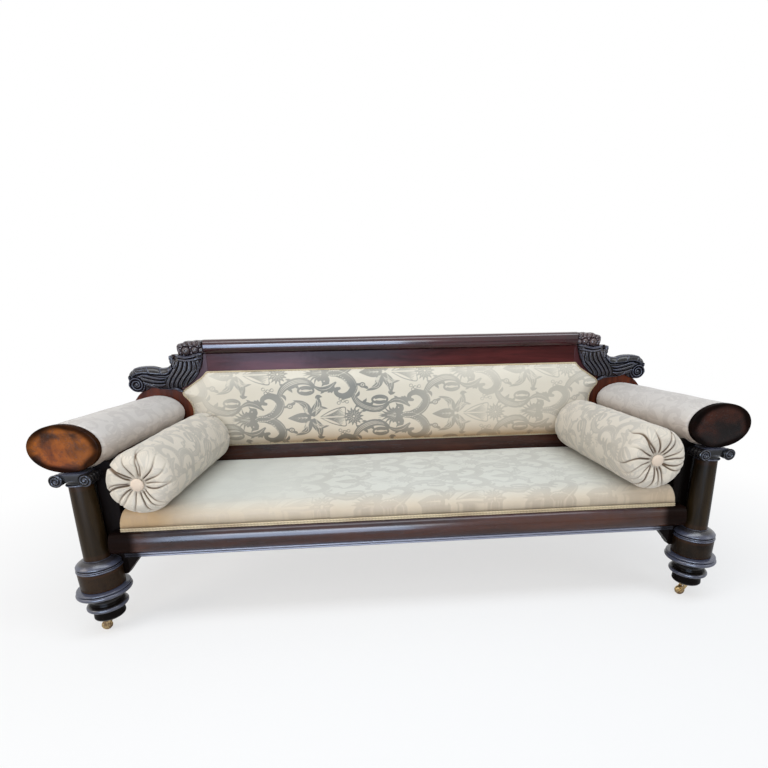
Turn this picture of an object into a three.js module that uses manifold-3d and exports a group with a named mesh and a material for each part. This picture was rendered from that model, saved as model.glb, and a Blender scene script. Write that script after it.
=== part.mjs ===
// A column-arm sofa: a mahogany seat frame on turned front feet, columns that carry two
// padded arm rolls, a panelled back under a half-round crest rail with carved horns of
// fruit at its ends, a crowned seat, two loose bolsters and four brass casters.
// Millimetres, +X to the viewer's right, +Y towards the back, +Z up.
import * as THREE from 'three';
import Module from 'manifold-3d';
import { mergeVertices } from 'three/addons/utils/BufferGeometryUtils.js';

const wasm = await Module();
wasm.setup();

// Clearances and cutting
const FIT_GAP = 0.3;
const CUT_OVERRUN = 5;
const AXLE_GAP = 0.15;

// Plan of the frame; the column axis lies on y = 0 until the whole is centred
const SEAT_RAIL_LENGTH = 1828;
const COLUMN_SET_OUT = 86;
const BACK_FACE_Y = 603;
const BACK_BOARD_THICKNESS = 24;

// Turned front leg, from the floor up
const CASTER_HEIGHT = 54;
const FOOT_HEIGHT = 114.5;
const FOOT_RADIUS = 79;
const DRUM_HEIGHT = 61;
const DRUM_RADIUS = 63.5;
const DRUM_LOWER_RADIUS = 62;
const BASE_HEIGHT = 37;
const BASE_RADIUS = 65.4;
const COLUMN_HEIGHT = 245;
const COLUMN_BOTTOM_RADIUS = 37.2;
const COLUMN_TOP_RADIUS = 32.4;
const CAPITAL_HEIGHT = 42.5;
const TENON_RADIUS = 14;
const FOOT_TENON_LENGTH = 30;
const COLUMN_TENON_IN_DRUM = 26;

// Scroll capital
const VOLUTE_SPREAD = 82;
const VOLUTE_RADIUS = 19;
const CAPITAL_DEPTH = 94;
const CAPITAL_BAND = 15;
const CAPITAL_NECK_RADIUS = 36;

// Arm rolls
const ROLL_OFFSET = 10;
const ROLL_HALF_WIDTH = 103.6;
const ROLL_HALF_HEIGHT = 74.5;
const ROLL_FRONT_Y = -23.4;
const ROLL_CAP_THICKNESS = 18;
const ROLL_CAP_LIP = 0.6;
const ROLL_CAP_BEVEL = 3;
const ROLL_PADDING = 15;
const ROLL_END_DRAW = 5;

// Seat frame
const RAIL_TOP_Z = 347;
const RAIL_HEIGHT = 65;
const RAIL_TOP_FRONT_Y = -4;
const RAIL_BOTTOM_FRONT_Y = -18.4;
const RAIL_BULGE = 23;
const RAIL_BACK_Y = 45;
const RAIL_TENON_LENGTH = 30;
const RAIL_TENON_THICKNESS = 17;
const RAIL_TENON_HEIGHT = 40;
const RAIL_TENON_SET_BACK = 3;
const SIDE_TENON_LENGTH = 20;
const BEAD_HEIGHT = 15;
const BEAD_DEPTH = 25;
const BEAD_FRONT_Y = -21;
const BEAD_END_SET_BACK = 9;
const BACK_RAIL_THICKNESS = 52;
const SIDE_RAIL_THICKNESS = 30.5;
const WEB_THICKNESS = 1.5;
const WEB_WIDTH = 90;
const WEB_STRIPS_ACROSS = 8;
const WEB_STRIPS_ALONG = 3;
const WEB_EDGE = 8;

// Front post, arm board and bracket
const POST_WIDTH = 64;
const POST_FRONT_Y = 20;
const POST_DEPTH = 52;
const POST_BOTTOM_Z = 190;
const ARM_BOARD_THICKNESS = 21.5;
const BRACKET_LENGTH = 58;
const BRACKET_FRONT_Y = 6;
const BRACKET_THICKNESS = 34;
const BRACKET_DROP = 74;
const BRACKET_TOE = 4;

// Back
const LOWER_RAIL_TOP_Z = 469.5;
const PANEL_TOP_RISE = 163;
const FRIEZE_HEIGHT = 72;
const CREST_RADIUS = 29;
const CREST_AXIS_Y = 606;
const CREST_BACK_Y = 650;
const CREST_SET_IN = 7;
const PANEL_TOP_SET_IN = 106;
const PANEL_SET_IN = 9;
const DISC_HALF_WIDTH = 136.4;
const DISC_HALF_HEIGHT = 98.6;
const STILE_WIDTH = 45;
const BACK_PANEL_THICKNESS = 6;
const STRETCHER_HEIGHT = 60;
const STRETCHER_THICKNESS = 22;

// Rear legs
const REAR_LEG_SET_OUT = 5;
const REAR_LEG_WIDTH = 48;
const REAR_LEG_DEPTH = 48;
const REAR_LEG_RAKE = 28;
const REAR_LEG_FOOT = 40;

// Upholstery
const SEAT_FRONT_Y = 3;
const SEAT_CROWN = 76;
const SEAT_PITCH = 10;
const SEAT_BULGE = 3;
const BACK_PAD_CROWN = 36;
const PIPING_RADIUS = 4;
const SEAT_PIPING_RADIUS = 3.4;
const BOLSTER_LENGTH = 606;
const BOLSTER_RADIUS = 99;
const BOLSTER_PLEATS = 14;
const BOLSTER_PLEAT_DEPTH = 3;
const BOLSTER_SIDE_GAP = 4;
const BOLSTER_FLAT = 1.6;
const LEFT_BOLSTER_BACK_GAP = 3;
const RIGHT_BOLSTER_BACK_GAP = 9;
const BUTTON_RADIUS = 20;
const BUTTON_THICKNESS = 9;
const BOLSTER_DIMPLE = 9;
const BOLSTER_REST_SHARE = 0.954;

// Carved horn and fruit
const HORN_MOUTH_RADIUS = 60;
const HORN_LENGTH = 222;
const HORN_HEIGHT = 120;
const HORN_DEPTH = 34;
const HORN_FLUTE_DEPTH = 2.4;
const HORN_FLUTES = 9;
const HORN_RINGS = 15;
const SCROLL_RADIUS = 50;
const SCROLL_EYE_RADIUS = 9;
const SCROLL_DEPTH = 72;
const SCROLL_FRONT = 34;
const LEAF_RADIUS = 25;
const FRUIT_RADIUS = 18;
const FRUIT_DEPTH = 70;

// Casters
const WHEEL_RADIUS = 16;
const WHEEL_WIDTH = 14;
const WHEEL_ROUNDING = 1.6;
const CASTER_TRAIL = 18;
const AXLE_RADIUS = 3;
const STEM_RADIUS = 5;
const STEM_LENGTH = 26;
const HORN_PLATE_RADIUS = 13;
const HORN_PLATE_THICKNESS = 5.5;
const FORK_THICKNESS = 2.5;
const FORK_WIDTH = 11;

// Outlines as shares: [radius, height] of each turning's largest radius and its height
const FOOT_SHARES = [
  [0.46, 0], [0.53, 0.026], [0.57, 0.08], [0.57, 0.3], [0.65, 0.332], [0.722, 0.367],
  [0.747, 0.41], [0.722, 0.459], [0.633, 0.498], [0.582, 0.559], [0.582, 0.629],
  [0.633, 0.707], [0.71, 0.77], [0.734, 0.83], [0.886, 0.838], [0.975, 0.865],
  [1, 0.908], [0.975, 0.952], [0.91, 0.974], [0.835, 1],
];
const BASE_SHARES = [
  [0.92, 0], [0.98, 0.05], [1, 0.16], [0.985, 0.27], [0.93, 0.33], [0.955, 0.41],
  [0.93, 0.54], [0.85, 0.72], [0.71, 0.88], [0.615, 0.96], [0.6, 1],
];
// Column's entasis: [share of its height, share of its taper]
const COLUMN_SWELL_SHARES = [[0.25, 0.14], [0.5, 0.38], [0.75, 0.67]];
// Pulvinus at a volute's side: [share of half its length, share of the volute's radius]
const PULVINUS_SHARES = [[1, 0.94], [0.92, 1], [0.8, 0.9], [0.45, 0.62], [0.16, 0.72], [0, 0.82]];
const NECK_SHARES = [[0.9, 0], [1, 0.12], [1, 0.2], [0.93, 0.26], [1.05, 0.5], [1.08, 0.72]];
// Ogee corner of the back panel, as shares of the corner's width and height
const EAR_RISE_SHARE = 0.6288;
const OGEE_SHARES = [[0.22, -0.23], [0.48, -0.41], [0.8, -0.63]];
const EAR_SHARES = [[0.95, -0.74], [1.03, -0.86]];
// Where the stile's shoulder leaves the disc, as a share of the disc's half width
const STILE_SHOULDER_SHARE = 0.258;
// Seat's crown: [inset as a share of half its depth, rise, swell of its front]
const SEAT_CROWN_SHARES = [
  [0, 0, 0], [0, 0.41, 0.5], [0.017, 0.59, 0], [0.05, 0.7, 0], [0.135, 0.8, 0], [0.33, 0.9, 0],
  [0.6, 0.97, 0], [0.88, 1, 0],
];
// Back pad's crown: [inset as a share of half its height, rise]
const BACK_CROWN_SHARES = [
  [0, 0], [0, 0.5], [0.03, 0.68], [0.09, 0.8], [0.22, 0.91], [0.5, 0.98], [0.85, 1],
];
// Bolster: [share of its radius, inset from its end in radii, share of the pleats' depth there]
const BOLSTER_SWELL_SHARE = 1.01;
const BOLSTER_SHARES = [
  [0.21, 0.09, 0.15], [0.4, 0.035, 0.9], [0.62, 0, 1], [0.82, 0.05, 1], [0.94, 0.16, 0.8],
  [0.99, 0.34, 0.3], [1, 0.6, 0], [BOLSTER_SWELL_SHARE, 1.6, 0],
];
// Beyond this share of its radius the pleats also ripple the bolster's side
const PLEAT_SIDE_SHARE = 0.8;
const BUTTON_SHARES = [[0, 0], [0.86, 0], [1, 0.3], [0.94, 0.62], [0.6, 0.92], [0, 1]];
// Horn from its mouth to its scroll: [share of its length, of its height, of its mouth's radius]
const HORN_SHARES = [
  [0, 1, 1], [0.02, 0.86, 0.93], [0.07, 0.62, 0.86], [0.21, 0.28, 0.74], [0.43, 0.13, 0.72],
  [0.66, 0.24, 0.76], [0.85, 0.25, 0.66], [1, 0.02, 0.5],
];
// Scroll's turning: [share of its radius, share of its depth], from its back rim to its eye
const SCROLL_SHARES = [
  [1, 1], [1, 0.16], [0.92, 0.1], [0.74, 0.15], [0.64, 0.04], [0.5, 0], [0.42, 0.08], [0.24, 0.1],
];
// Leaves at the horn's lip: [share of the mouth's radius outwards, share of the leaf's radius down]
const LEAF_SHARES = [[1.5, 1.04], [1.12, 1.6]];
const LEAF_FORM_SHARES = [0.7, 0.8, 1];
// Fruit: [share of the cluster's length, share of its height, share of its depth]
const FRUIT_SHARES = [
  [0.16, 0.36, 0.14], [0.46, 0.33, 0.1], [0.78, 0.36, 0.16], [0.3, 0.68, 0.2], [0.62, 0.68, 0.16],
  [0.86, 0.62, 0.4], [0.14, 0.68, 0.5], [0.46, 0.66, 0.55], [0.72, 0.66, 0.76],
];
// The bed under the fruit, as shares of the cluster's length and height
const FRUIT_BED_SHARES = [0.96, 0.74];

// Heights and places that follow from the sizes above
const FOOT_TOP_Z = CASTER_HEIGHT + FOOT_HEIGHT;
const DRUM_BOTTOM_Z = FOOT_TOP_Z + FIT_GAP;
const DRUM_TOP_Z = DRUM_BOTTOM_Z + DRUM_HEIGHT;
const BASE_BOTTOM_Z = DRUM_TOP_Z + FIT_GAP;
const BASE_TOP_Z = BASE_BOTTOM_Z + BASE_HEIGHT;
const COLUMN_BOTTOM_Z = BASE_TOP_Z + FIT_GAP;
const COLUMN_TOP_Z = COLUMN_BOTTOM_Z + COLUMN_HEIGHT;
const CAPITAL_BOTTOM_Z = COLUMN_TOP_Z + FIT_GAP;
const CAPITAL_TOP_Z = CAPITAL_BOTTOM_Z + CAPITAL_HEIGHT;
const ROLL_Z = CAPITAL_TOP_Z + FIT_GAP + ROLL_HALF_HEIGHT;
const RAIL_HALF = SEAT_RAIL_LENGTH / 2;
const COLUMN_X = RAIL_HALF + COLUMN_SET_OUT;
const ROLL_X = COLUMN_X + ROLL_OFFSET;
const ROLL_CAP_BACK_Y = ROLL_FRONT_Y + ROLL_CAP_THICKNESS;
const RAIL_BOTTOM_Z = RAIL_TOP_Z - RAIL_HEIGHT;
const POST_INNER_X = RAIL_HALF + FIT_GAP;
const POST_BACK_Y = POST_FRONT_Y + POST_DEPTH;
const BOARD_BACK_Y = BACK_FACE_Y + BACK_BOARD_THICKNESS;
const REAR_LEG_X = RAIL_HALF + REAR_LEG_SET_OUT;
const REAR_LEG_FRONT_Y = BOARD_BACK_Y + FIT_GAP;
const REAR_LEG_BACK_Y = REAR_LEG_FRONT_Y + REAR_LEG_DEPTH;
const PANEL_HALF = RAIL_HALF - PANEL_SET_IN;
const PANEL_TOP_HALF = PANEL_HALF - PANEL_TOP_SET_IN;
const PANEL_TOP_Z = ROLL_Z + PANEL_TOP_RISE;
const EAR_Z = ROLL_Z + EAR_RISE_SHARE * DISC_HALF_HEIGHT;
const STILE_OUTER_X = PANEL_HALF + STILE_WIDTH;
const FRIEZE_TOP_Z = PANEL_TOP_Z + FIT_GAP + FRIEZE_HEIGHT;
const CREST_HALF = PANEL_TOP_HALF - CREST_SET_IN;
const CREST_BOTTOM_Z = FRIEZE_TOP_Z + FIT_GAP;
const PANEL_BOTTOM_Z = LOWER_RAIL_TOP_Z + FIT_GAP;
const WEB_BOTTOM_Z = RAIL_TOP_Z + FIT_GAP;
const WEB_TOP_Z = WEB_BOTTOM_Z + WEB_THICKNESS;
const SEAT_BASE_Z = WEB_TOP_Z + FIT_GAP;
const REAR_FOOT_Y = REAR_LEG_FRONT_Y + REAR_LEG_RAKE + REAR_LEG_FOOT / 2;
const FRONT_LIMIT_Y = -FOOT_RADIUS;
const BACK_LIMIT_Y = REAR_FOOT_Y + REAR_LEG_FOOT / 2;
const FRUIT_LENGTH = 2 * HORN_MOUTH_RADIUS;
const HORN_MOUTH_X = CREST_HALF + FIT_GAP + HORN_MOUTH_RADIUS;
const HORN_TOP_Z = FRIEZE_TOP_Z - FIT_GAP;
const SCROLL_X = HORN_MOUTH_X + HORN_LENGTH;
const SCROLL_SIDE_SHARE = (SCROLL_X - ROLL_X) / DISC_HALF_WIDTH;
const DISC_EDGE_Z = ROLL_Z + DISC_HALF_HEIGHT * Math.sqrt(1 - SCROLL_SIDE_SHARE ** 2);
const DISC_RATIO = DISC_HALF_HEIGHT / DISC_HALF_WIDTH;
const DISC_SLOPE = (DISC_RATIO ** 2 * (SCROLL_X - ROLL_X)) / (DISC_EDGE_Z - ROLL_Z);
const SCROLL_Z = DISC_EDGE_Z + (SCROLL_RADIUS + 2 * FIT_GAP) * Math.hypot(1, DISC_SLOPE);

const RADIAL_STEPS = 18;
const ROLL_STEPS = 32;
const SMALL_STEPS = 12;
const WHEEL_STEPS = 16;
const CURVE_STEPS = 8;
const PIPING_SIDES = 5;
const CORNER_STEPS = 5;
const DISC_STEPS = 8;
const PAD_FLAT_STEPS = 5;
const SEAT_EDGE_STEPS = [20, 8];
const BALL_STEPS = [8, 6];
const SIDES = [['left', -1], ['right', 1]];

const wood = new THREE.MeshStandardMaterial({ color: 0x3a1a10, roughness: 0.3, metalness: 0 });
const darkWood = new THREE.MeshStandardMaterial({ color: 0x1f1712, roughness: 0.35, metalness: 0 });
const veneer = new THREE.MeshStandardMaterial({ color: 0x6b3312, roughness: 0.3, metalness: 0 });
const carved = new THREE.MeshStandardMaterial({ color: 0x2b1c17, roughness: 0.45, metalness: 0 });
const innerWood = new THREE.MeshStandardMaterial({ color: 0x9a7a52, roughness: 0.8, metalness: 0 });
const damask = new THREE.MeshStandardMaterial({ color: 0xcdc3b2, roughness: 0.8, metalness: 0 });
const jute = new THREE.MeshStandardMaterial({ color: 0xa58a60, roughness: 0.9, metalness: 0 });
const brass = new THREE.MeshStandardMaterial({ color: 0xb08d4f, roughness: 0.4, metalness: 1 });

// Welds a geometry's vertices, drops flat triangles and turns the faces outwards
function closed(geometry) {
  const bare = geometry.index ? geometry.clone() : mergeVertices(geometry.clone());
  bare.deleteAttribute('normal');
  bare.deleteAttribute('uv');
  const welded = mergeVertices(bare, 1e-3);
  const source = welded.index.array;
  const kept = [];
  for (let i = 0; i < source.length; i += 3) {
    const [a, b, c] = [source[i], source[i + 1], source[i + 2]];
    if (a !== b && b !== c && a !== c) kept.push(a, b, c);
  }
  const place = welded.attributes.position;
  const [p, q, r] = [new THREE.Vector3(), new THREE.Vector3(), new THREE.Vector3()];
  let volume = 0;
  for (let i = 0; i < kept.length; i += 3) {
    p.fromBufferAttribute(place, kept[i]);
    q.fromBufferAttribute(place, kept[i + 1]);
    r.fromBufferAttribute(place, kept[i + 2]);
    volume += p.dot(q.cross(r));
  }
  if (volume < 0) {
    for (let i = 0; i < kept.length; i += 3) [kept[i], kept[i + 1]] = [kept[i + 1], kept[i]];
  }
  welded.setIndex(kept);
  return welded;
}

function solidOf(geometry) {
  const tidy = closed(geometry);
  const vertProperties = new Float32Array(tidy.attributes.position.array);
  const triVerts = new Uint32Array(tidy.index.array);
  return new wasm.Manifold(new wasm.Mesh({ numProp: 3, vertProperties, triVerts }));
}

function geometryOf(solid) {
  const { vertProperties, triVerts } = solid.getMesh();
  const geometry = new THREE.BufferGeometry();
  geometry.setAttribute('position', new THREE.BufferAttribute(new Float32Array(vertProperties), 3));
  geometry.setIndex(Array.from(triVerts));
  return geometry;
}

function joined(...geometries) {
  return geometryOf(geometries.map(solidOf).reduce((whole, next) => whole.add(next)));
}

function cut(body, ...tools) {
  return geometryOf(tools.map(solidOf).reduce((whole, tool) => whole.subtract(tool), solidOf(body)));
}

function box([x0, x1], [y0, y1], [z0, z1]) {
  const geometry = new THREE.BoxGeometry(x1 - x0, y1 - y0, z1 - z0);
  return geometry.translate((x0 + x1) / 2, (y0 + y1) / 2, (z0 + z1) / 2);
}

// A turning about the vertical axis; points are [radius, z]
function turned(points, steps = RADIAL_STEPS) {
  const profile = points.map(([radius, z]) => new THREE.Vector2(radius, z));
  return new THREE.LatheGeometry(profile, steps).rotateX(Math.PI / 2);
}

// A turning about an axis along +Y; points are [radius, y]
function turnedAlongY(points, steps = RADIAL_STEPS) {
  const profile = points.map(([radius, y]) => new THREE.Vector2(radius, y));
  return new THREE.LatheGeometry(profile, steps);
}

function rod(radius, z0, z1, steps = RADIAL_STEPS) {
  return turned([[0, z0], [radius, z0], [radius, z1], [0, z1]], steps);
}

function shapeOf(points) {
  return new THREE.Shape(points.map(([a, b]) => new THREE.Vector2(a, b)));
}

// Extrudes an outline drawn in (y, z) from x0 to x1
function alongX(shape, x0, x1) {
  const options = { depth: x1 - x0, bevelEnabled: false, curveSegments: CURVE_STEPS };
  const axes = new THREE.Matrix4().makeBasis(
    new THREE.Vector3(0, 1, 0), new THREE.Vector3(0, 0, 1), new THREE.Vector3(1, 0, 0));
  return new THREE.ExtrudeGeometry(shape, options).applyMatrix4(axes).translate(x0, 0, 0);
}

// Extrudes an outline drawn in (x, z) from y0 to y1, with an optional bevel inside that depth
function alongY(shape, y0, y1, bevel = 0, steps = CURVE_STEPS) {
  const options = {
    depth: y1 - y0 - 2 * bevel, bevelEnabled: bevel > 0, bevelSize: bevel, bevelOffset: -bevel,
    bevelThickness: bevel, bevelSegments: 1, curveSegments: steps,
  };
  return new THREE.ExtrudeGeometry(shape, options).rotateX(Math.PI / 2).translate(0, y1 - bevel, 0);
}

// Mirrors a right-hand piece to the left where side is -1
function forSide(geometry, side) {
  return side > 0 ? geometry : closed(geometry.scale(-1, 1, 1));
}

// Skins rings of points; closes them by poles, or onto the first ring where there are none
function skinned(rings, startPole, endPole) {
  const positions = [];
  const faces = [];
  const count = rings[0].length;
  for (const ring of rings) for (const point of ring) positions.push(...point);
  const last = startPole ? rings.length - 1 : rings.length;
  for (let i = 0; i < last; i += 1) {
    const near = i * count;
    const far = ((i + 1) % rings.length) * count;
    for (let j = 0; j < count; j += 1) {
      const next = (j + 1) % count;
      faces.push(near + j, far + j, far + next, near + j, far + next, near + next);
    }
  }
  if (startPole) {
    const start = positions.length / 3;
    positions.push(...startPole, ...endPole);
    const lastRing = (rings.length - 1) * count;
    for (let j = 0; j < count; j += 1) {
      const next = (j + 1) % count;
      faces.push(start, j, next, start + 1, lastRing + next, lastRing + j);
    }
  }
  const geometry = new THREE.BufferGeometry();
  geometry.setAttribute('position', new THREE.BufferAttribute(new Float32Array(positions), 3));
  geometry.setIndex(faces);
  return geometry;
}

function ellipseRing(x, y, z, halfWidth, halfHeight, steps) {
  return Array.from({ length: steps }, (_, i) => {
    const angle = (2 * Math.PI * i) / steps;
    return [x + halfWidth * Math.cos(angle), y, z + halfHeight * Math.sin(angle)];
  });
}

function ellipsePrism(x, z, halfWidth, halfHeight, y0, y1, steps = ROLL_STEPS) {
  const rings = [y0, y1].map((y) => ellipseRing(x, y, z, halfWidth, halfHeight, steps));
  return skinned(rings, [x, y0, z], [x, y1, z]);
}

const sofa = new THREE.Group();
const place = new THREE.Group();
place.position.y = -(FRONT_LIMIT_Y + BACK_LIMIT_Y) / 2;
sofa.add(place);

function add(name, geometry, material, parent = place) {
  const mesh = new THREE.Mesh(closed(geometry), material);
  mesh.name = name;
  mesh.geometry.computeVertexNormals();
  parent.add(mesh);
  return mesh;
}

// Front leg: foot, drum, base moulding, column and capital, tenoned on one axis
function footGeometry() {
  const bore = STEM_RADIUS + FIT_GAP;
  const boreTop = CASTER_HEIGHT + STEM_LENGTH + FIT_GAP;
  const outline = FOOT_SHARES.map(([r, h]) => [r * FOOT_RADIUS, CASTER_HEIGHT + h * FOOT_HEIGHT]);
  const tenonTop = FOOT_TOP_Z + FOOT_TENON_LENGTH;
  return turned([
    [0, boreTop], [bore, boreTop], [bore, CASTER_HEIGHT], ...outline,
    [TENON_RADIUS, FOOT_TOP_Z], [TENON_RADIUS, tenonTop], [0, tenonTop],
  ]);
}

function drumGeometry() {
  const bore = TENON_RADIUS + FIT_GAP;
  return turned([
    [bore, DRUM_BOTTOM_Z], [DRUM_LOWER_RADIUS, DRUM_BOTTOM_Z], [DRUM_RADIUS, DRUM_TOP_Z],
    [bore, DRUM_TOP_Z], [bore, DRUM_BOTTOM_Z],
  ]);
}

function baseGeometry() {
  const bore = TENON_RADIUS + FIT_GAP;
  const outline = BASE_SHARES.map(([r, h]) => [r * BASE_RADIUS, BASE_BOTTOM_Z + h * BASE_HEIGHT]);
  return turned([[bore, BASE_BOTTOM_Z], ...outline, [bore, BASE_TOP_Z], [bore, BASE_BOTTOM_Z]]);
}

function columnGeometry() {
  const tenonBottom = DRUM_TOP_Z - COLUMN_TENON_IN_DRUM;
  const taper = COLUMN_BOTTOM_RADIUS - COLUMN_TOP_RADIUS;
  const shaft = COLUMN_SWELL_SHARES.map(([up, inwards]) => [
    COLUMN_BOTTOM_RADIUS - taper * inwards, COLUMN_BOTTOM_Z + COLUMN_HEIGHT * up]);
  return turned([
    [0, tenonBottom], [TENON_RADIUS, tenonBottom], [TENON_RADIUS, COLUMN_BOTTOM_Z],
    [COLUMN_BOTTOM_RADIUS, COLUMN_BOTTOM_Z], ...shaft,
    [COLUMN_TOP_RADIUS, COLUMN_TOP_Z], [0, COLUMN_TOP_Z],
  ]);
}

function capitalGeometry() {
  const half = CAPITAL_DEPTH / 2;
  const voluteZ = CAPITAL_TOP_Z - VOLUTE_RADIUS;
  const front = PULVINUS_SHARES.map(([along, r]) => [r * VOLUTE_RADIUS, -along * half]);
  const back = front.slice(0, -1).reverse().map(([r, y]) => [r, -y]);
  const pulvinus = [[0, -half], ...front, ...back, [0, half]];
  const volutes = [-1, 1].map((s) => turnedAlongY(pulvinus, SMALL_STEPS)
    .translate((s * VOLUTE_SPREAD) / 2, 0, voluteZ));
  const bandBottom = CAPITAL_TOP_Z - CAPITAL_BAND;
  const bandHalf = VOLUTE_SPREAD / 2;
  const band = box([-bandHalf, bandHalf], [-half, half], [bandBottom, CAPITAL_TOP_Z]);
  const neck = NECK_SHARES.map(([r, h]) => [
    r * CAPITAL_NECK_RADIUS, CAPITAL_BOTTOM_Z + h * CAPITAL_HEIGHT]);
  const neckTop = neck[neck.length - 1][1];
  const echinus = turned([[0, CAPITAL_BOTTOM_Z], ...neck, [0, neckTop]]);
  return joined(echinus, band, ...volutes);
}

function buildLegs() {
  for (const [label, side] of SIDES) {
    const leg = new THREE.Group();
    leg.position.x = side * COLUMN_X;
    place.add(leg);
    add(`front_foot_${label}`, footGeometry(), darkWood, leg);
    add(`drum_${label}`, drumGeometry(), darkWood, leg);
    add(`column_base_${label}`, baseGeometry(), darkWood, leg);
    add(`column_${label}`, columnGeometry(), darkWood, leg);
    add(`capital_${label}`, capitalGeometry(), darkWood, leg);
  }
}

// Arm roll: a wooden core, its padded cover, the veneered cap and the board beneath
function rollPadGeometry() {
  const boreWidth = ROLL_HALF_WIDTH - ROLL_PADDING;
  const boreHeight = ROLL_HALF_HEIGHT - ROLL_PADDING;
  const [front, back] = [ROLL_CAP_BACK_Y + FIT_GAP, BACK_FACE_Y - FIT_GAP];
  const bore = (y) => ellipseRing(ROLL_X, y, ROLL_Z, boreWidth, boreHeight, ROLL_STEPS);
  const cover = (y, drawn) => ellipseRing(
    ROLL_X, y, ROLL_Z, ROLL_HALF_WIDTH - drawn, ROLL_HALF_HEIGHT - drawn, ROLL_STEPS);
  return skinned([
    bore(front), cover(front, ROLL_END_DRAW / 2), cover(front + ROLL_END_DRAW, 0),
    cover(back - 2 * ROLL_END_DRAW, 0), cover(back - ROLL_END_DRAW / 2, ROLL_END_DRAW / 2),
    cover(back, ROLL_END_DRAW), bore(back),
  ]);
}

function rollCoreGeometry() {
  const halfWidth = ROLL_HALF_WIDTH - ROLL_PADDING - FIT_GAP;
  const halfHeight = ROLL_HALF_HEIGHT - ROLL_PADDING - FIT_GAP;
  const [front, back] = [ROLL_CAP_BACK_Y + FIT_GAP, BACK_FACE_Y - FIT_GAP];
  return ellipsePrism(ROLL_X, ROLL_Z, halfWidth, halfHeight, front, back);
}

function rollCapGeometry() {
  const outline = new THREE.Shape();
  const halfWidth = ROLL_HALF_WIDTH + ROLL_CAP_LIP;
  outline.absellipse(ROLL_X, ROLL_Z, halfWidth, ROLL_HALF_HEIGHT, 0, 2 * Math.PI);
  return alongY(outline, ROLL_FRONT_Y, ROLL_CAP_BACK_Y, ROLL_CAP_BEVEL, ROLL_STEPS / 2);
}

function rollClearance(y0, y1) {
  const grown = FIT_GAP * 2;
  return ellipsePrism(ROLL_X, ROLL_Z, ROLL_HALF_WIDTH + grown, ROLL_HALF_HEIGHT + grown, y0, y1);
}

function armBoardGeometry() {
  const x = [POST_INNER_X, POST_INNER_X + ARM_BOARD_THICKNESS];
  const y = [POST_BACK_Y + FIT_GAP, BACK_FACE_Y - FIT_GAP];
  const board = box(x, y, [RAIL_TOP_Z + FIT_GAP, ROLL_Z]);
  return cut(board, rollClearance(y[0] - CUT_OVERRUN, y[1] + CUT_OVERRUN));
}

function buildArms() {
  for (const [label, side] of SIDES) {
    add(`roll_pad_${label}`, forSide(rollPadGeometry(), side), damask);
    add(`roll_core_${label}`, forSide(rollCoreGeometry(), side), innerWood);
    add(`roll_cap_${label}`, forSide(rollCapGeometry(), side), veneer);
    add(`arm_board_${label}`, forSide(armBoardGeometry(), side), darkWood);
  }
}

// Seat frame, with the rails tenoned into the posts
function railTenon(x0, x1, grown = 0) {
  const back = RAIL_BACK_Y - RAIL_TENON_SET_BACK;
  const middle = RAIL_TOP_Z - RAIL_HEIGHT / 2;
  return box([x0, x1], [back - RAIL_TENON_THICKNESS - grown, back + grown],
    [middle - RAIL_TENON_HEIGHT / 2 - grown, middle + RAIL_TENON_HEIGHT / 2 + grown]);
}

function sideTenon(y0, y1, grown = 0) {
  const centre = POST_INNER_X + SIDE_RAIL_THICKNESS / 2;
  const middle = RAIL_TOP_Z - RAIL_HEIGHT / 2;
  const halfWidth = RAIL_TENON_THICKNESS / 2 + grown;
  const halfHeight = RAIL_TENON_HEIGHT / 2 + grown;
  const z = [middle - halfHeight, middle + halfHeight];
  return box([centre - halfWidth, centre + halfWidth], [y0, y1], z);
}

function frontRailGeometry() {
  const section = new THREE.Shape();
  section.moveTo(RAIL_BACK_Y, RAIL_BOTTOM_Z);
  section.lineTo(RAIL_BACK_Y, RAIL_TOP_Z);
  section.lineTo(RAIL_TOP_FRONT_Y, RAIL_TOP_Z);
  const upper = [RAIL_TOP_FRONT_Y - RAIL_BULGE, RAIL_TOP_Z];
  const lower = [RAIL_BOTTOM_FRONT_Y - (2 * RAIL_BULGE) / 3, RAIL_BOTTOM_Z + RAIL_HEIGHT / 5];
  section.bezierCurveTo(...upper, ...lower, RAIL_BOTTOM_FRONT_Y, RAIL_BOTTOM_Z);
  const reach = RAIL_HALF + RAIL_TENON_LENGTH;
  return joined(alongX(section, -RAIL_HALF, RAIL_HALF), railTenon(-reach, reach));
}

function beadGeometry() {
  const radius = BEAD_HEIGHT / 4;
  const top = RAIL_BOTTOM_Z - FIT_GAP;
  const section = new THREE.Shape();
  section.moveTo(BEAD_FRONT_Y + BEAD_DEPTH, top);
  section.lineTo(BEAD_FRONT_Y + radius, top);
  section.absarc(BEAD_FRONT_Y + radius, top - radius, radius, Math.PI / 2, (3 * Math.PI) / 2);
  section.absarc(BEAD_FRONT_Y + radius, top - 3 * radius, radius, Math.PI / 2, (3 * Math.PI) / 2);
  section.lineTo(BEAD_FRONT_Y + BEAD_DEPTH, top - BEAD_HEIGHT);
  const half = RAIL_HALF - BEAD_END_SET_BACK;
  return alongX(section, -half, half);
}

function backSeatRailGeometry() {
  const y = [BOARD_BACK_Y - BACK_RAIL_THICKNESS, BOARD_BACK_Y];
  return box([-RAIL_HALF, RAIL_HALF], y, [RAIL_BOTTOM_Z, RAIL_TOP_Z]);
}

function sideRailGeometry() {
  const x = [POST_INNER_X, POST_INNER_X + SIDE_RAIL_THICKNESS];
  const y = [POST_BACK_Y + FIT_GAP, BOARD_BACK_Y];
  const rail = box(x, y, [RAIL_BOTTOM_Z, RAIL_TOP_Z]);
  return joined(rail, sideTenon(y[0] - SIDE_TENON_LENGTH, y[1] + SIDE_TENON_LENGTH));
}

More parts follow.
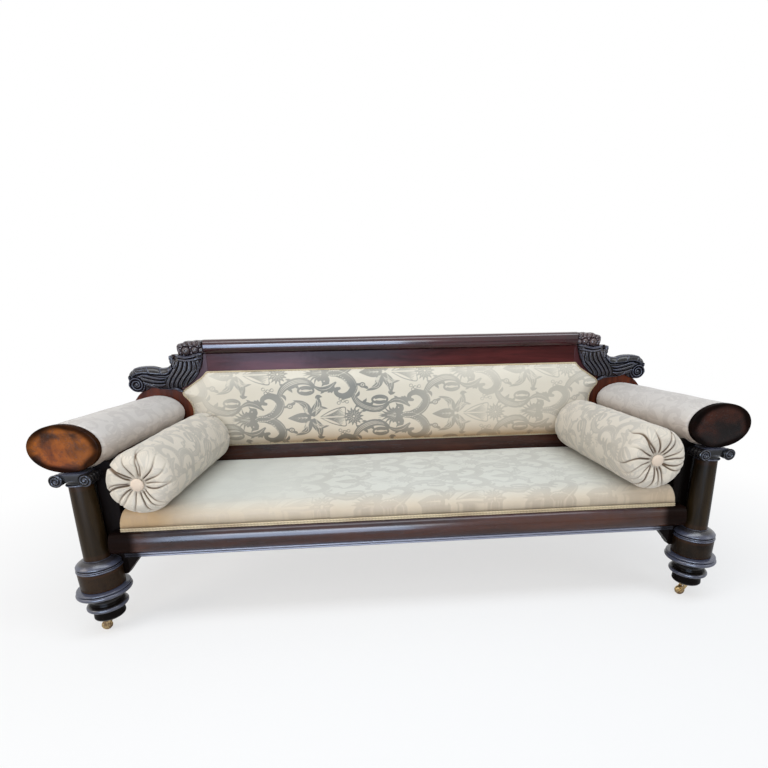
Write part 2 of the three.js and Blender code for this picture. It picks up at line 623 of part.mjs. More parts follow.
function postGeometry() {
  const y = [POST_FRONT_Y, POST_BACK_Y];
  const post = box([POST_INNER_X, POST_INNER_X + POST_WIDTH], y, [POST_BOTTOM_Z, ROLL_Z]);
  const legRoom = rod(BASE_RADIUS + FIT_GAP * 2, POST_BOTTOM_Z - CUT_OVERRUN, COLUMN_BOTTOM_Z + FIT_GAP)
    .translate(COLUMN_X, 0, 0);
  const columnRoom = rod(COLUMN_BOTTOM_RADIUS + FIT_GAP, COLUMN_BOTTOM_Z, ROLL_Z).translate(COLUMN_X, 0, 0);
  const half = CAPITAL_DEPTH / 2 + FIT_GAP;
  const capitalInnerX = COLUMN_X - VOLUTE_SPREAD / 2 - VOLUTE_RADIUS - FIT_GAP;
  const capitalUnderZ = CAPITAL_TOP_Z - 2 * VOLUTE_RADIUS - FIT_GAP;
  const capitalRoom = box([capitalInnerX, COLUMN_X], [-half, half], [capitalUnderZ, ROLL_Z]);
  const frontEnd = RAIL_HALF + RAIL_TENON_LENGTH + FIT_GAP;
  const frontMortise = railTenon(RAIL_HALF - CUT_OVERRUN, frontEnd, FIT_GAP);
  const sideEnd = POST_BACK_Y - SIDE_TENON_LENGTH - FIT_GAP;
  const sideMortise = sideTenon(sideEnd, POST_BACK_Y + CUT_OVERRUN, FIT_GAP);
  const rollRoom = rollClearance(y[0] - CUT_OVERRUN, y[1] + CUT_OVERRUN);
  return cut(post, rollRoom, legRoom, columnRoom, capitalRoom, frontMortise, sideMortise);
}

function bracketGeometry() {
  const top = RAIL_BOTTOM_Z - FIT_GAP;
  const outline = shapeOf([
    [RAIL_HALF - BRACKET_LENGTH, top], [RAIL_HALF - BRACKET_LENGTH, top - BRACKET_TOE],
    [RAIL_HALF, top - BRACKET_DROP], [RAIL_HALF, top],
  ]);
  return alongY(outline, BRACKET_FRONT_Y, BRACKET_FRONT_Y + BRACKET_THICKNESS);
}

function webbingGeometry() {
  const half = RAIL_HALF - WEB_EDGE;
  const [front, back] = [SEAT_FRONT_Y + WEB_EDGE, BACK_FACE_Y - WEB_EDGE];
  const z = [WEB_BOTTOM_Z, WEB_TOP_Z];
  const pitchX = (2 * half - WEB_WIDTH) / (WEB_STRIPS_ACROSS - 1);
  const pitchY = (back - front - WEB_WIDTH) / (WEB_STRIPS_ALONG - 1);
  const strips = [];
  for (let i = 0; i < WEB_STRIPS_ACROSS; i += 1) {
    const x = -half + i * pitchX;
    strips.push(box([x, x + WEB_WIDTH], [front, back], z));
  }
  for (let j = 0; j < WEB_STRIPS_ALONG; j += 1) {
    const y = front + j * pitchY;
    strips.push(box([-half, half], [y, y + WEB_WIDTH], z));
  }
  return joined(...strips);
}

function buildSeatFrame() {
  add('front_seat_rail', frontRailGeometry(), wood);
  add('front_rail_bead', beadGeometry(), darkWood);
  add('back_seat_rail', backSeatRailGeometry(), innerWood);
  add('seat_webbing', webbingGeometry(), jute);
  for (const [label, side] of SIDES) {
    add(`side_rail_${label}`, forSide(sideRailGeometry(), side), wood);
    add(`front_post_${label}`, forSide(postGeometry(), side), darkWood);
    add(`rail_bracket_${label}`, forSide(bracketGeometry(), side), darkWood);
  }
}

// Back: boards, crest and rear legs
// Moves a closed clockwise outline outwards by a distance, keeping its corners sharp
function offsetOutline(outline, distance) {
  const count = outline.length;
  const edgeNormal = (a, b) => new THREE.Vector2(a[1] - b[1], b[0] - a[0]).normalize();
  return outline.map((point, i) => {
    const before = edgeNormal(outline[(i + count - 1) % count], point);
    const after = edgeNormal(point, outline[(i + 1) % count]);
    const miter = before.add(after).divideScalar(2);
    miter.divideScalar(miter.lengthSq());
    return [point[0] + miter.x * distance, point[1] + miter.y * distance];
  });
}

// The angle on the disc where its edge meets the panel's ear
function earAngle() {
  return Math.PI - Math.asin(EAR_RISE_SHARE);
}

// Draws the panel's ogee corner, its ear and the hollow that the disc leaves in its side
function cornerPath(path) {
  const ear = earAngle();
  const height = PANEL_TOP_Z - EAR_Z;
  const place = ([a, b]) => [PANEL_TOP_HALF + a * PANEL_TOP_SET_IN, PANEL_TOP_Z + b * height];
  const [first, second, middle] = OGEE_SHARES.map(place);
  const [third, fourth] = EAR_SHARES.map(place);
  path.bezierCurveTo(...first, ...second, ...middle);
  const earPoint = [ROLL_X + DISC_HALF_WIDTH * Math.cos(ear), EAR_Z];
  path.bezierCurveTo(...third, ...fourth, ...earPoint);
  path.absellipse(ROLL_X, ROLL_Z, DISC_HALF_WIDTH, DISC_HALF_HEIGHT, ear, 2 * Math.PI - ear);
}

// The panel's outline as points, with a number of steps in each straight stretch
function panelOutline(flatSteps) {
  const path = new THREE.Path();
  path.moveTo(0, PANEL_TOP_Z);
  path.lineTo(PANEL_TOP_HALF, PANEL_TOP_Z);
  cornerPath(path);
  path.lineTo(PANEL_HALF, PANEL_BOTTOM_Z);
  path.lineTo(0, PANEL_BOTTOM_Z);
  const stepsOf = (curve) => {
    if (curve.isEllipseCurve) return DISC_STEPS;
    return curve.isCubicBezierCurve ? CORNER_STEPS : flatSteps;
  };
  const half = path.curves.flatMap((curve, i) => curve.getPoints(stepsOf(curve)).slice(i ? 1 : 0))
    .map((point) => [point.x, point.y]);
  const other = half.slice(1, -1).reverse().map(([x, z]) => [-x, z]);
  return [...half, ...other];
}

function stileGeometry() {
  const board = new THREE.Shape();
  const inner = PANEL_HALF + FIT_GAP;
  const footAngle = 2 * Math.PI - Math.acos((STILE_OUTER_X - ROLL_X) / DISC_HALF_WIDTH);
  const shoulderAngle = 2 * Math.PI + Math.acos(STILE_SHOULDER_SHARE);
  const shoulder = [ROLL_X - DISC_HALF_WIDTH / 5, SCROLL_Z + SCROLL_RADIUS / 3];
  board.moveTo(CREST_HALF + FIT_GAP, FRIEZE_TOP_Z);
  board.lineTo(CREST_HALF + FIT_GAP, PANEL_TOP_Z + FIT_GAP);
  board.lineTo(PANEL_TOP_HALF + FIT_GAP, PANEL_TOP_Z + FIT_GAP);
  cornerPath(board);
  board.lineTo(inner, PANEL_BOTTOM_Z);
  board.lineTo(inner, RAIL_TOP_Z + FIT_GAP);
  board.lineTo(STILE_OUTER_X, RAIL_TOP_Z + FIT_GAP);
  board.absellipse(ROLL_X, ROLL_Z, DISC_HALF_WIDTH, DISC_HALF_HEIGHT, footAngle, shoulderAngle);
  board.lineTo(...shoulder);
  board.lineTo(HORN_MOUTH_X + HORN_MOUTH_RADIUS, shoulder[1] + HORN_HEIGHT / 5);
  board.lineTo(HORN_MOUTH_X + HORN_MOUTH_RADIUS, FRIEZE_TOP_Z);
  return alongY(board, BACK_FACE_Y, BOARD_BACK_Y);
}

function friezeGeometry() {
  const z = [PANEL_TOP_Z + FIT_GAP, FRIEZE_TOP_Z];
  return box([-CREST_HALF, CREST_HALF], [BACK_FACE_Y, BOARD_BACK_Y], z);
}

function crestGeometry() {
  const axisZ = CREST_BOTTOM_Z + CREST_RADIUS;
  const section = new THREE.Shape();
  section.moveTo(CREST_BACK_Y, CREST_BOTTOM_Z);
  section.lineTo(CREST_BACK_Y, CREST_BOTTOM_Z + 2 * CREST_RADIUS);
  section.absarc(CREST_AXIS_Y, axisZ, CREST_RADIUS, Math.PI / 2, (3 * Math.PI) / 2);
  return alongX(section, -CREST_HALF, CREST_HALF);
}

function lowerRailGeometry() {
  const z = [RAIL_TOP_Z + FIT_GAP, LOWER_RAIL_TOP_Z];
  return box([-PANEL_HALF, PANEL_HALF], [BACK_FACE_Y, BOARD_BACK_Y], z);
}

function backPanelGeometry() {
  const half = REAR_LEG_X - REAR_LEG_WIDTH / 2 - FIT_GAP;
  const y = [REAR_LEG_FRONT_Y, REAR_LEG_FRONT_Y + BACK_PANEL_THICKNESS];
  return box([-half, half], y, [RAIL_TOP_Z + FIT_GAP, FRIEZE_TOP_Z - STRETCHER_HEIGHT - FIT_GAP]);
}

function stretcherGeometry() {
  const half = REAR_LEG_X - REAR_LEG_WIDTH / 2 - FIT_GAP;
  const y = [REAR_LEG_FRONT_Y, REAR_LEG_FRONT_Y + STRETCHER_THICKNESS];
  return box([-half, half], y, [FRIEZE_TOP_Z - STRETCHER_HEIGHT, FRIEZE_TOP_Z]);
}

function rearLegGeometry() {
  const footFront = REAR_FOOT_Y - REAR_LEG_FOOT / 2;
  const kneeZ = (RAIL_BOTTOM_Z + CASTER_HEIGHT) / 2;
  const outline = new THREE.Shape();
  outline.moveTo(REAR_LEG_FRONT_Y, FRIEZE_TOP_Z);
  outline.lineTo(REAR_LEG_FRONT_Y, RAIL_BOTTOM_Z);
  outline.quadraticCurveTo(REAR_LEG_FRONT_Y, kneeZ, footFront, CASTER_HEIGHT);
  outline.lineTo(footFront + REAR_LEG_FOOT, CASTER_HEIGHT);
  outline.quadraticCurveTo(REAR_LEG_BACK_Y, kneeZ, REAR_LEG_BACK_Y, RAIL_BOTTOM_Z);
  outline.lineTo(REAR_LEG_BACK_Y, FRIEZE_TOP_Z);
  const leg = alongX(outline, REAR_LEG_X - REAR_LEG_WIDTH / 2, REAR_LEG_X + REAR_LEG_WIDTH / 2);
  const socketTop = CASTER_HEIGHT + STEM_LENGTH + FIT_GAP;
  const socket = rod(STEM_RADIUS + FIT_GAP, CASTER_HEIGHT - CUT_OVERRUN, socketTop)
    .translate(REAR_LEG_X, REAR_FOOT_Y, 0);
  const mortise = sideTenon(BOARD_BACK_Y, BOARD_BACK_Y + SIDE_TENON_LENGTH + FIT_GAP, FIT_GAP);
  return cut(leg, socket, mortise);
}

function buildBack() {
  add('crest_rail', crestGeometry(), wood);
  add('crest_frieze', friezeGeometry(), veneer);
  add('lower_back_rail', lowerRailGeometry(), wood);
  add('back_panel', backPanelGeometry(), innerWood);
  add('back_stretcher', stretcherGeometry(), innerWood);
  for (const [label, side] of SIDES) {
    add(`back_stile_${label}`, forSide(stileGeometry(), side), veneer);
    add(`rear_leg_${label}`, forSide(rearLegGeometry(), side), wood);
  }
}

// Carved horn: a fluted, tapering sweep that ends in a scroll
function hornSweep() {
  const spine = new THREE.CatmullRomCurve3(HORN_SHARES.map(([a, b]) => new THREE.Vector3(
    HORN_MOUTH_X + a * HORN_LENGTH, BACK_FACE_Y - FIT_GAP, HORN_TOP_Z - HORN_HEIGHT + b * HORN_HEIGHT)));
  const widths = new THREE.SplineCurve(HORN_SHARES.map(([a, , r]) => new THREE.Vector2(a, r)));
  const steps = 3 * HORN_FLUTES;
  const rings = [];
  for (let i = 0; i <= HORN_RINGS; i += 1) {
    const t = i / HORN_RINGS;
    const at = spine.getPoint(t);
    const heading = i === 0 ? new THREE.Vector3(0, 0, -1) : spine.getTangent(t);
    const across = new THREE.Vector3(-heading.z, 0, heading.x);
    const share = widths.getPoint(t).y;
    const radius = share * HORN_MOUTH_RADIUS;
    rings.push(Array.from({ length: steps }, (_, j) => {
      const angle = (2 * Math.PI * j) / steps;
      const ripple = HORN_FLUTE_DEPTH * Math.cos(HORN_FLUTES * angle) * Math.min(1, 4 * t);
      const [u, v] = [(radius + ripple) * Math.cos(angle), (share * HORN_DEPTH + ripple) * Math.sin(angle)];
      return [at.x + across.x * u, at.y + v, at.z + across.z * u];
    }));
  }
  return skinned(rings, spine.getPoint(0).toArray(), spine.getPoint(1).toArray());
}

function scrollBoss() {
  const front = BACK_FACE_Y - SCROLL_FRONT;
  const rings = SCROLL_SHARES.map(([r, depth]) => [r * SCROLL_RADIUS, front + depth * SCROLL_DEPTH]);
  const eye = [[SCROLL_EYE_RADIUS, front], [0, front]];
  return turnedAlongY([[0, front + SCROLL_DEPTH], ...rings, ...eye]).translate(SCROLL_X, 0, SCROLL_Z);
}

function leafLobes() {
  return LEAF_SHARES.map(([outwards, down]) => new THREE.SphereGeometry(LEAF_RADIUS, ...BALL_STEPS)
    .scale(...LEAF_FORM_SHARES)
    .translate(HORN_MOUTH_X + HORN_MOUTH_RADIUS * outwards, BACK_FACE_Y - LEAF_RADIUS / 4,
      HORN_TOP_Z - LEAF_RADIUS * down));
}

function hornGeometry() {
  const reach = HORN_LENGTH * 2;
  const x = [HORN_MOUTH_X - reach, HORN_MOUTH_X + reach];
  const rear = box(x, [BACK_FACE_Y - FIT_GAP, BACK_FACE_Y + reach], [HORN_TOP_Z - reach, HORN_TOP_Z + reach]);
  const above = box(x, [BACK_FACE_Y - reach, BACK_FACE_Y + reach], [HORN_TOP_Z, HORN_TOP_Z + reach]);
  return joined(cut(joined(hornSweep(), ...leafLobes()), rear, above), scrollBoss());
}

function fruitGeometry() {
  const x0 = CREST_HALF + FIT_GAP;
  const height = 2 * CREST_RADIUS;
  const front = CREST_AXIS_Y - CREST_RADIUS;
  const [lengthShare, heightShare] = FRUIT_BED_SHARES;
  const bed = box([x0, x0 + FRUIT_LENGTH * lengthShare], [front + FRUIT_RADIUS, front + FRUIT_DEPTH],
    [CREST_BOTTOM_Z, CREST_BOTTOM_Z + height * heightShare]);
  const fruit = FRUIT_SHARES.map(([a, b, c]) => {
    const y = front + c * FRUIT_DEPTH + FRUIT_RADIUS / 2;
    const ball = new THREE.SphereGeometry(FRUIT_RADIUS, ...BALL_STEPS);
    return ball.translate(x0 + a * FRUIT_LENGTH, y, CREST_BOTTOM_Z + b * height);
  });
  const keep = box([x0, x0 + 2 * FRUIT_LENGTH], [front - FRUIT_DEPTH, front + 2 * FRUIT_DEPTH],
    [CREST_BOTTOM_Z, CREST_BOTTOM_Z + 2 * height]);
  return geometryOf(solidOf(joined(bed, ...fruit)).intersect(solidOf(keep)));
}

function buildCarving() {
  for (const [label, side] of SIDES) {
    add(`crest_horn_${label}`, forSide(hornGeometry(), side), carved);
    add(`crest_fruit_${label}`, forSide(fruitGeometry(), side), carved);
  }
}

// Seat: rings inset from its outline and raised by its crown
function seatPadGeometry() {
  const halfX = RAIL_HALF - FIT_GAP * 2;
  const [front, back] = [SEAT_FRONT_Y, BACK_FACE_Y - FIT_GAP - SEAT_BULGE];
  const [midY, halfY] = [(front + back) / 2, (back - front) / 2];
  const [countX, countY] = SEAT_EDGE_STEPS;
  const edge = [];
  for (let i = 0; i < countX; i += 1) edge.push([-1 + (2 * i) / countX, -1]);
  for (let i = 0; i < countY; i += 1) edge.push([1, -1 + (2 * i) / countY]);
  for (let i = 0; i < countX; i += 1) edge.push([1 - (2 * i) / countX, 1]);
  for (let i = 0; i < countY; i += 1) edge.push([-1, 1 - (2 * i) / countY]);
  const rings = SEAT_CROWN_SHARES.map(([inset, rise, swell]) => edge.map(([u, v]) => {
    const y = midY + v * halfY * (1 - inset) - (v < 0 ? swell * SEAT_BULGE : 0);
    const z = SEAT_BASE_Z + rise * (SEAT_CROWN + (SEAT_PITCH * (y - midY)) / (2 * halfY));
    return [u * (halfX - inset * halfY), y, z];
  }));
  return skinned(rings, [0, midY, SEAT_BASE_Z], [0, midY, SEAT_BASE_Z + SEAT_CROWN]);
}

function seatPipingGeometry() {
  const y = SEAT_FRONT_Y - SEAT_BULGE - SEAT_PIPING_RADIUS;
  const z = RAIL_TOP_Z + FIT_GAP;
  const section = new THREE.Shape();
  const [lower, upper] = [z + SEAT_PIPING_RADIUS, z + SEAT_PIPING_RADIUS * (1 + Math.sqrt(3))];
  section.absarc(y, lower, SEAT_PIPING_RADIUS, -Math.PI / 2, Math.PI / 3);
  section.absarc(y, upper, SEAT_PIPING_RADIUS, -Math.PI / 3, (4 * Math.PI) / 3);
  section.absarc(y, lower, SEAT_PIPING_RADIUS, (2 * Math.PI) / 3, (3 * Math.PI) / 2);
  return alongX(section, -RAIL_HALF, RAIL_HALF);
}

// Back pad: rings inset from the panel's outline and raised towards the front
function backPadGeometry() {
  const outline = offsetOutline(panelOutline(PAD_FLAT_STEPS), -PIPING_RADIUS - 2 * FIT_GAP);
  const midZ = ROLL_Z;
  const halfZ = (PANEL_TOP_Z - PANEL_BOTTOM_Z) / 2;
  const rings = BACK_CROWN_SHARES.map(([inset, rise]) => {
    const [sx, sz] = [1 - (inset * halfZ) / PANEL_HALF, 1 - inset];
    const y = BOARD_BACK_Y - rise * (BACK_PAD_CROWN + BACK_BOARD_THICKNESS);
    return outline.map(([x, z]) => [x * sx, y, midZ + (z - midZ) * sz]);
  });
  return skinned(rings, [0, BOARD_BACK_Y, midZ], [0, BACK_FACE_Y - BACK_PAD_CROWN, midZ]);
}

function backPipingGeometry() {
  const outline = panelOutline(1);
  const axisY = BACK_FACE_Y - PIPING_RADIUS - FIT_GAP;
  const strands = Array.from({ length: PIPING_SIDES }, (_, j) => {
    const angle = (2 * Math.PI * j) / PIPING_SIDES;
    const y = axisY + PIPING_RADIUS * Math.sin(angle);
    return offsetOutline(outline, PIPING_RADIUS * Math.cos(angle)).map(([x, z]) => [x, y, z]);
  });
  return skinned(strands);
}

// Bolster: rings about +Y, with pleats gathered towards its buttoned ends
function bolsterGeometry() {
  const steps = 3 * BOLSTER_PLEATS;
  const half = BOLSTER_LENGTH / 2;
  const ring = ([share, inset, pleat], end) => Array.from({ length: steps }, (_, j) => {
    const angle = (2 * Math.PI * j) / steps;
    const ripple = BOLSTER_PLEAT_DEPTH * pleat * Math.cos(BOLSTER_PLEATS * angle);
    const radius = share * BOLSTER_RADIUS + (share > PLEAT_SIDE_SHARE ? ripple / 2 : 0);
    const y = end * (half - inset * BOLSTER_RADIUS - BOLSTER_PLEAT_DEPTH + ripple);
    const z = Math.max(radius * Math.sin(angle), BOLSTER_FLAT - BOLSTER_RADIUS);
    return [radius * Math.cos(angle), y, z];
  });
  const front = BOLSTER_SHARES.map((shares) => ring(shares, -1));
  const back = BOLSTER_SHARES.map((shares) => ring(shares, 1)).reverse();
  const pole = half - BOLSTER_DIMPLE - BOLSTER_PLEAT_DEPTH;
  return skinned([...front, ...back], [0, -pole, 0], [0, pole, 0]);
}

// The button lies on the highest of the pleats that it gathers
function buttonGeometry(end) {
  const [, inset, pleat] = BOLSTER_SHARES[0];
  const pleatTop = BOLSTER_LENGTH / 2 - inset * BOLSTER_RADIUS - BOLSTER_PLEAT_DEPTH * (1 - pleat);
  const base = pleatTop + FIT_GAP;
  const profile = BUTTON_SHARES.map(([r, h]) => [r * BUTTON_RADIUS, end * (base + h * BUTTON_THICKNESS)]);
  return turnedAlongY(profile, SMALL_STEPS);
}

function buildUpholstery() {
  add('seat_pad', seatPadGeometry(), damask);
  add('seat_piping', seatPipingGeometry(), damask);
  add('back_pad', backPadGeometry(), damask);
  add('back_piping', backPipingGeometry(), damask);
  const gaps = [LEFT_BOLSTER_BACK_GAP, RIGHT_BOLSTER_BACK_GAP];
  SIDES.forEach(([label, side], i) => {
    const bolster = new THREE.Group();
    const x = POST_INNER_X - BOLSTER_SIDE_GAP - BOLSTER_RADIUS * BOLSTER_SWELL_SHARE;
    const z = SEAT_BASE_Z + BOLSTER_REST_SHARE * SEAT_CROWN + BOLSTER_RADIUS - BOLSTER_FLAT;
    const back = BACK_FACE_Y - BACK_PAD_CROWN - gaps[i];
    bolster.position.set(side * x, back - BOLSTER_LENGTH / 2, z);
    place.add(bolster);
    add(`bolster_${label}`, bolsterGeometry(), damask, bolster);
    add(`bolster_button_front_${label}`, buttonGeometry(-1), damask, bolster);
    add(`bolster_button_back_${label}`, buttonGeometry(1), damask, bolster);
  });
}

// Caster: a stemmed horn that swivels in its leg, and a wheel on the horn's axle
function hornPlateGeometry() {
  const top = CASTER_HEIGHT - FIT_GAP;
  const plate = rod(HORN_PLATE_RADIUS, top - HORN_PLATE_THICKNESS, top, SMALL_STEPS);
  const stem = rod(STEM_RADIUS, top - HORN_PLATE_THICKNESS, CASTER_HEIGHT + STEM_LENGTH, SMALL_STEPS);
  const inner = WHEEL_WIDTH / 2 + 2 * FIT_GAP;
  const under = top - HORN_PLATE_THICKNESS / 2;
  const outline = shapeOf([
    [HORN_PLATE_RADIUS / 2, under], [-HORN_PLATE_RADIUS / 2, under],
    [-CASTER_TRAIL - FORK_WIDTH / 2, WHEEL_RADIUS + FORK_WIDTH / 4],
    [-CASTER_TRAIL - FORK_WIDTH / 3, WHEEL_RADIUS - FORK_WIDTH / 2],
    [-CASTER_TRAIL + FORK_WIDTH / 3, WHEEL_RADIUS - FORK_WIDTH / 2],
    [HORN_PLATE_RADIUS / 2, top - 2 * HORN_PLATE_THICKNESS],
  ]);
  const outer = inner + FORK_THICKNESS;
  const arms = [alongY(outline, -outer, -inner), alongY(outline, inner, outer)];
  const reach = outer + AXLE_RADIUS / 2;
  const pin = [[0, -reach], [AXLE_RADIUS, -reach], [AXLE_RADIUS, reach], [0, reach]];
  const axle = turnedAlongY(pin, SMALL_STEPS).translate(-CASTER_TRAIL, 0, WHEEL_RADIUS);
  return joined(plate, stem, ...arms, axle);
}

// The wheel's flats lie at its true radius, and one of them is undermost
function wheelGeometry() {
  const half = WHEEL_WIDTH / 2;
  const bore = AXLE_RADIUS + AXLE_GAP;
  const tread = WHEEL_RADIUS / Math.cos(Math.PI / WHEEL_STEPS);
  const shoulder = tread - WHEEL_ROUNDING;
  const profile = [
    [bore, -half], [shoulder, -half], [tread, -half / 2], [tread, half / 2], [shoulder, half],
    [bore, half], [bore, -half],
  ];
  return turnedAlongY(profile, WHEEL_STEPS)
    .rotateY(Math.PI / WHEEL_STEPS)
    .translate(-CASTER_TRAIL, 0, WHEEL_RADIUS);
}

function buildCasters() {
  for (const [row, x, y] of [['front', COLUMN_X, 0], ['rear', REAR_LEG_X, REAR_FOOT_Y]]) {
    for (const [label, side] of SIDES) {
      const caster = new THREE.Group();
      caster.position.set(side * x, y, 0);
      place.add(caster);
      add(`caster_horn_${row}_${label}`, hornPlateGeometry(), brass, caster);
      add(`caster_wheel_${row}_${label}`, wheelGeometry(), brass, caster);
    }
  }
}

buildLegs();
buildArms();
buildSeatFrame();
buildBack();
buildCarving();
buildUpholstery();
buildCasters();

export default sofa;
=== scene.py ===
"""Looks of a column-arm sofa: polished mahogany, carved horns of fruit and damask upholstery.

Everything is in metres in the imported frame: +X to the viewer's right, +Y to the back, +Z up.
Profiles and carvings are drawn in millimetres from the column's axis and the floor, and are
scaled once. A surface is worked out as whole arrays on a grid of two parameters.
"""
import math

import bmesh
import bpy
import numpy as np
from mathutils import Matrix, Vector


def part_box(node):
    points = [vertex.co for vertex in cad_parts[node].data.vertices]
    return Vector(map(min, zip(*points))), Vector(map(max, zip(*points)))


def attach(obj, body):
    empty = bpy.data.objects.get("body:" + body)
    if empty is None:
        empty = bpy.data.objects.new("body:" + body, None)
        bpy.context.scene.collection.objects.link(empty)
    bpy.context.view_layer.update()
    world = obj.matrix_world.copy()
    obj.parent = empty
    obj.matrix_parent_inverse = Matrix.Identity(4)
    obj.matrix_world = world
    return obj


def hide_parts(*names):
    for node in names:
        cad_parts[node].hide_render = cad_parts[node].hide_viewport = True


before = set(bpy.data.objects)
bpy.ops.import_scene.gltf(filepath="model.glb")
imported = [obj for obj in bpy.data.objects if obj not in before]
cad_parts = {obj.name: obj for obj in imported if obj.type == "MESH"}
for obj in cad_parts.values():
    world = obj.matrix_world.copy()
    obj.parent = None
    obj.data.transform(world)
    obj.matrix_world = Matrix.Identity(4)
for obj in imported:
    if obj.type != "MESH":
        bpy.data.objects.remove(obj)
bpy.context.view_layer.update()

MM = 0.001
TURN = 2 * math.pi
SIDES = (("left", -1), ("right", 1))
RANDOM_SEED = 1840

# Camera, solved from the photograph's straight edges
EYE = (-0.0999, -1.6469, 0.9423)
YAW, PITCH, ROLL = (math.radians(a) for a in (3.87, 15.63, -1.15))
LENS, SENSOR = 20.68, 36.0
SHIFT_X, SHIFT_Y = -0.0272, 0.0914

# Drawn sizes in millimetres: the shaft, the roll's disc at the back and the panel between the discs
SHAFT_BOTTOM_RADIUS, SHAFT_TOP_RADIUS = 37.2, 32.4
BOARD_FRONT = 603
DISC_X, DISC_Z, DISC_HALF_WIDTH, DISC_HALF_HEIGHT = 1010, 630, 136.4, 98.6
PANEL_FOOT_X, PANEL_FOOT_Z = 905, 469.8
PANEL_TOP_X, PANEL_TOP_Z, PANEL_EAR_Z = 799, 793, 692

# Places that follow from the frame, in metres
COLUMN_LOW, COLUMN_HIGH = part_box("column_right")
COLUMN_X = COLUMN_HIGH.x - SHAFT_BOTTOM_RADIUS * MM
COLUMN_Y = (COLUMN_LOW.y + COLUMN_HIGH.y) / 2
BOARD_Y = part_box("crest_frieze")[0].y
ROW_Y = BOARD_Y - BOARD_FRONT * MM
ROLL_LOW, ROLL_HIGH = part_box("roll_pad_right")
ROLL_X, ROLL_Z = (ROLL_LOW.x + ROLL_HIGH.x) / 2, (ROLL_LOW.z + ROLL_HIGH.z) / 2


# Curves and fields

def smooth(low, high, x):
    """Smoothstep: 0 below low, 1 above high, and 3t^2 - 2t^3 between."""
    t = np.clip((x - low) / (high - low), 0, 1)
    return t * t * (3 - 2 * t)


def bell(x, width):
    """Gaussian bell: 1 at x = 0, fallen to 1/e at one width."""
    return np.exp(-(x / width)**2)


def quarter_round(away, radius):
    """Rises from 0 to 1 over a radius, along a quarter of an ellipse."""
    return np.sqrt(1 - (1 - np.clip(away / radius, 0, 1))**2)


def arc(centre_a, centre_b, radius_a, radius_b, start, end, steps=10):
    """Points of an ellipse's arc from one angle in degrees to another."""
    angle = np.radians(np.linspace(start, end, steps))
    return np.stack([centre_a + radius_a * np.cos(angle), centre_b + radius_b * np.sin(angle)], 1)


def outline_of(*parts):
    """Joins points and arcs into one array of points."""
    return np.concatenate([np.asarray(p, float).reshape(-1, 2) for p in parts])


def curve_through(points, steps):
    """Catmull-Rom curve: each stretch is the cubic whose end slopes are half the chords beside it."""
    p = np.asarray(points, float)
    p = np.concatenate([[2 * p[0] - p[1]], p, [2 * p[-1] - p[-2]]])
    spans = len(p) - 3
    s = np.linspace(0, spans, steps)
    i = np.minimum(s.astype(int), spans - 1)
    t = (s - i)[:, None]
    a, b, c, d = p[i], p[i + 1], p[i + 2], p[i + 3]
    return 0.5 * (2 * b + (c - a) * t + (2 * a - 5 * b + 4 * c - d) * t**2 + (3 * b - a - 3 * c + d) * t**3)


def bezier(a, b, c, d, steps):
    """Cubic curve of four points."""
    t = np.linspace(0, 1, steps)[:, None]
    a, b, c, d = (np.array(p, float) for p in (a, b, c, d))
    return (1 - t)**3 * a + 3 * (1 - t)**2 * t * b + 3 * (1 - t) * t**2 * c + t**3 * d


def run_along(points):
    """Length of a polyline up to each of its points."""
    return np.r_[0, np.cumsum(np.linalg.norm(np.diff(points, axis=0), axis=1))]


def even_steps(points, steps):
    """The same polyline, sampled at equal lengths."""
    p = np.asarray(points, float)
    length = run_along(p)
    at = np.linspace(0, length[-1], steps)
    return np.stack([np.interp(at, length, p[:, k]) for k in range(p.shape[1])], 1)


def ripples(shape_seed, count, low, high):
    """Returns a smooth random field: a sum of count sine waves of seeded direction and phase."""
    rng = np.random.default_rng(shape_seed)
    angle, phase = rng.uniform(0, TURN, count), rng.uniform(0, TURN, count)
    pitch = rng.uniform(low, high, count)

    def field(a, b):
        waves = (np.sin(pitch[k] * (a * math.cos(angle[k]) + b * math.sin(angle[k])) + phase[k])
                 for k in range(count))
        return sum(waves) / math.sqrt(count)

    return field


# Grids and shells

def round_steps(steps):
    """Angles of equal steps round a circle."""
    return np.arange(steps) * TURN / steps


def round_y(angle, x, z, radius_x, radius_z, y):
    """Grid of points round an axis along Y."""
    return np.stack(np.broadcast_arrays(x + radius_x * np.cos(angle), y, z + radius_z * np.sin(angle)), -1)


def round_z(angle, x, y, radius, z):
    """Grid of points round an upright axis."""
    return np.stack(np.broadcast_arrays(x + radius * np.cos(angle), y + radius * np.sin(angle), z), -1)


def carried(section, places, axis):
    """Grid of a section's points repeated at each place along an axis, 0 for X and 1 for Y."""
    grid = np.repeat(np.insert(section, axis, 0.0, 1)[None], len(places), 0)
    grid[..., axis] = places[:, None]
    return grid


def grid_faces(rows, columns, wrap=False):
    """Quads of a grid of rows by columns; wrap joins its last column to its first."""
    i, j = np.meshgrid(np.arange(rows - 1), np.arange(columns - (0 if wrap else 1)), indexing="ij")
    a, b = i * columns + j, i * columns + (j + 1) % columns
    return np.stack([a, b, b + columns, a + columns], -1).reshape(-1, 4)


def tube_shell(grid):
    """Closes a grid that wraps in its columns with a pole at each end: (points, faces)."""
    rows, columns = grid.shape[:2]
    points = np.concatenate([grid.reshape(-1, 3), grid[0].mean(0)[None], grid[-1].mean(0)[None]])
    j = np.arange(columns)
    after, last, near = (j + 1) % columns, (rows - 1) * columns, rows * columns
    start = np.stack([np.full(columns, near), after, j], 1)
    end = np.stack([np.full(columns, near + 1), last + j, last + after], 1)
    return points, [*grid_faces(rows, columns, True).tolist(), *start.tolist(), *end.tolist()]


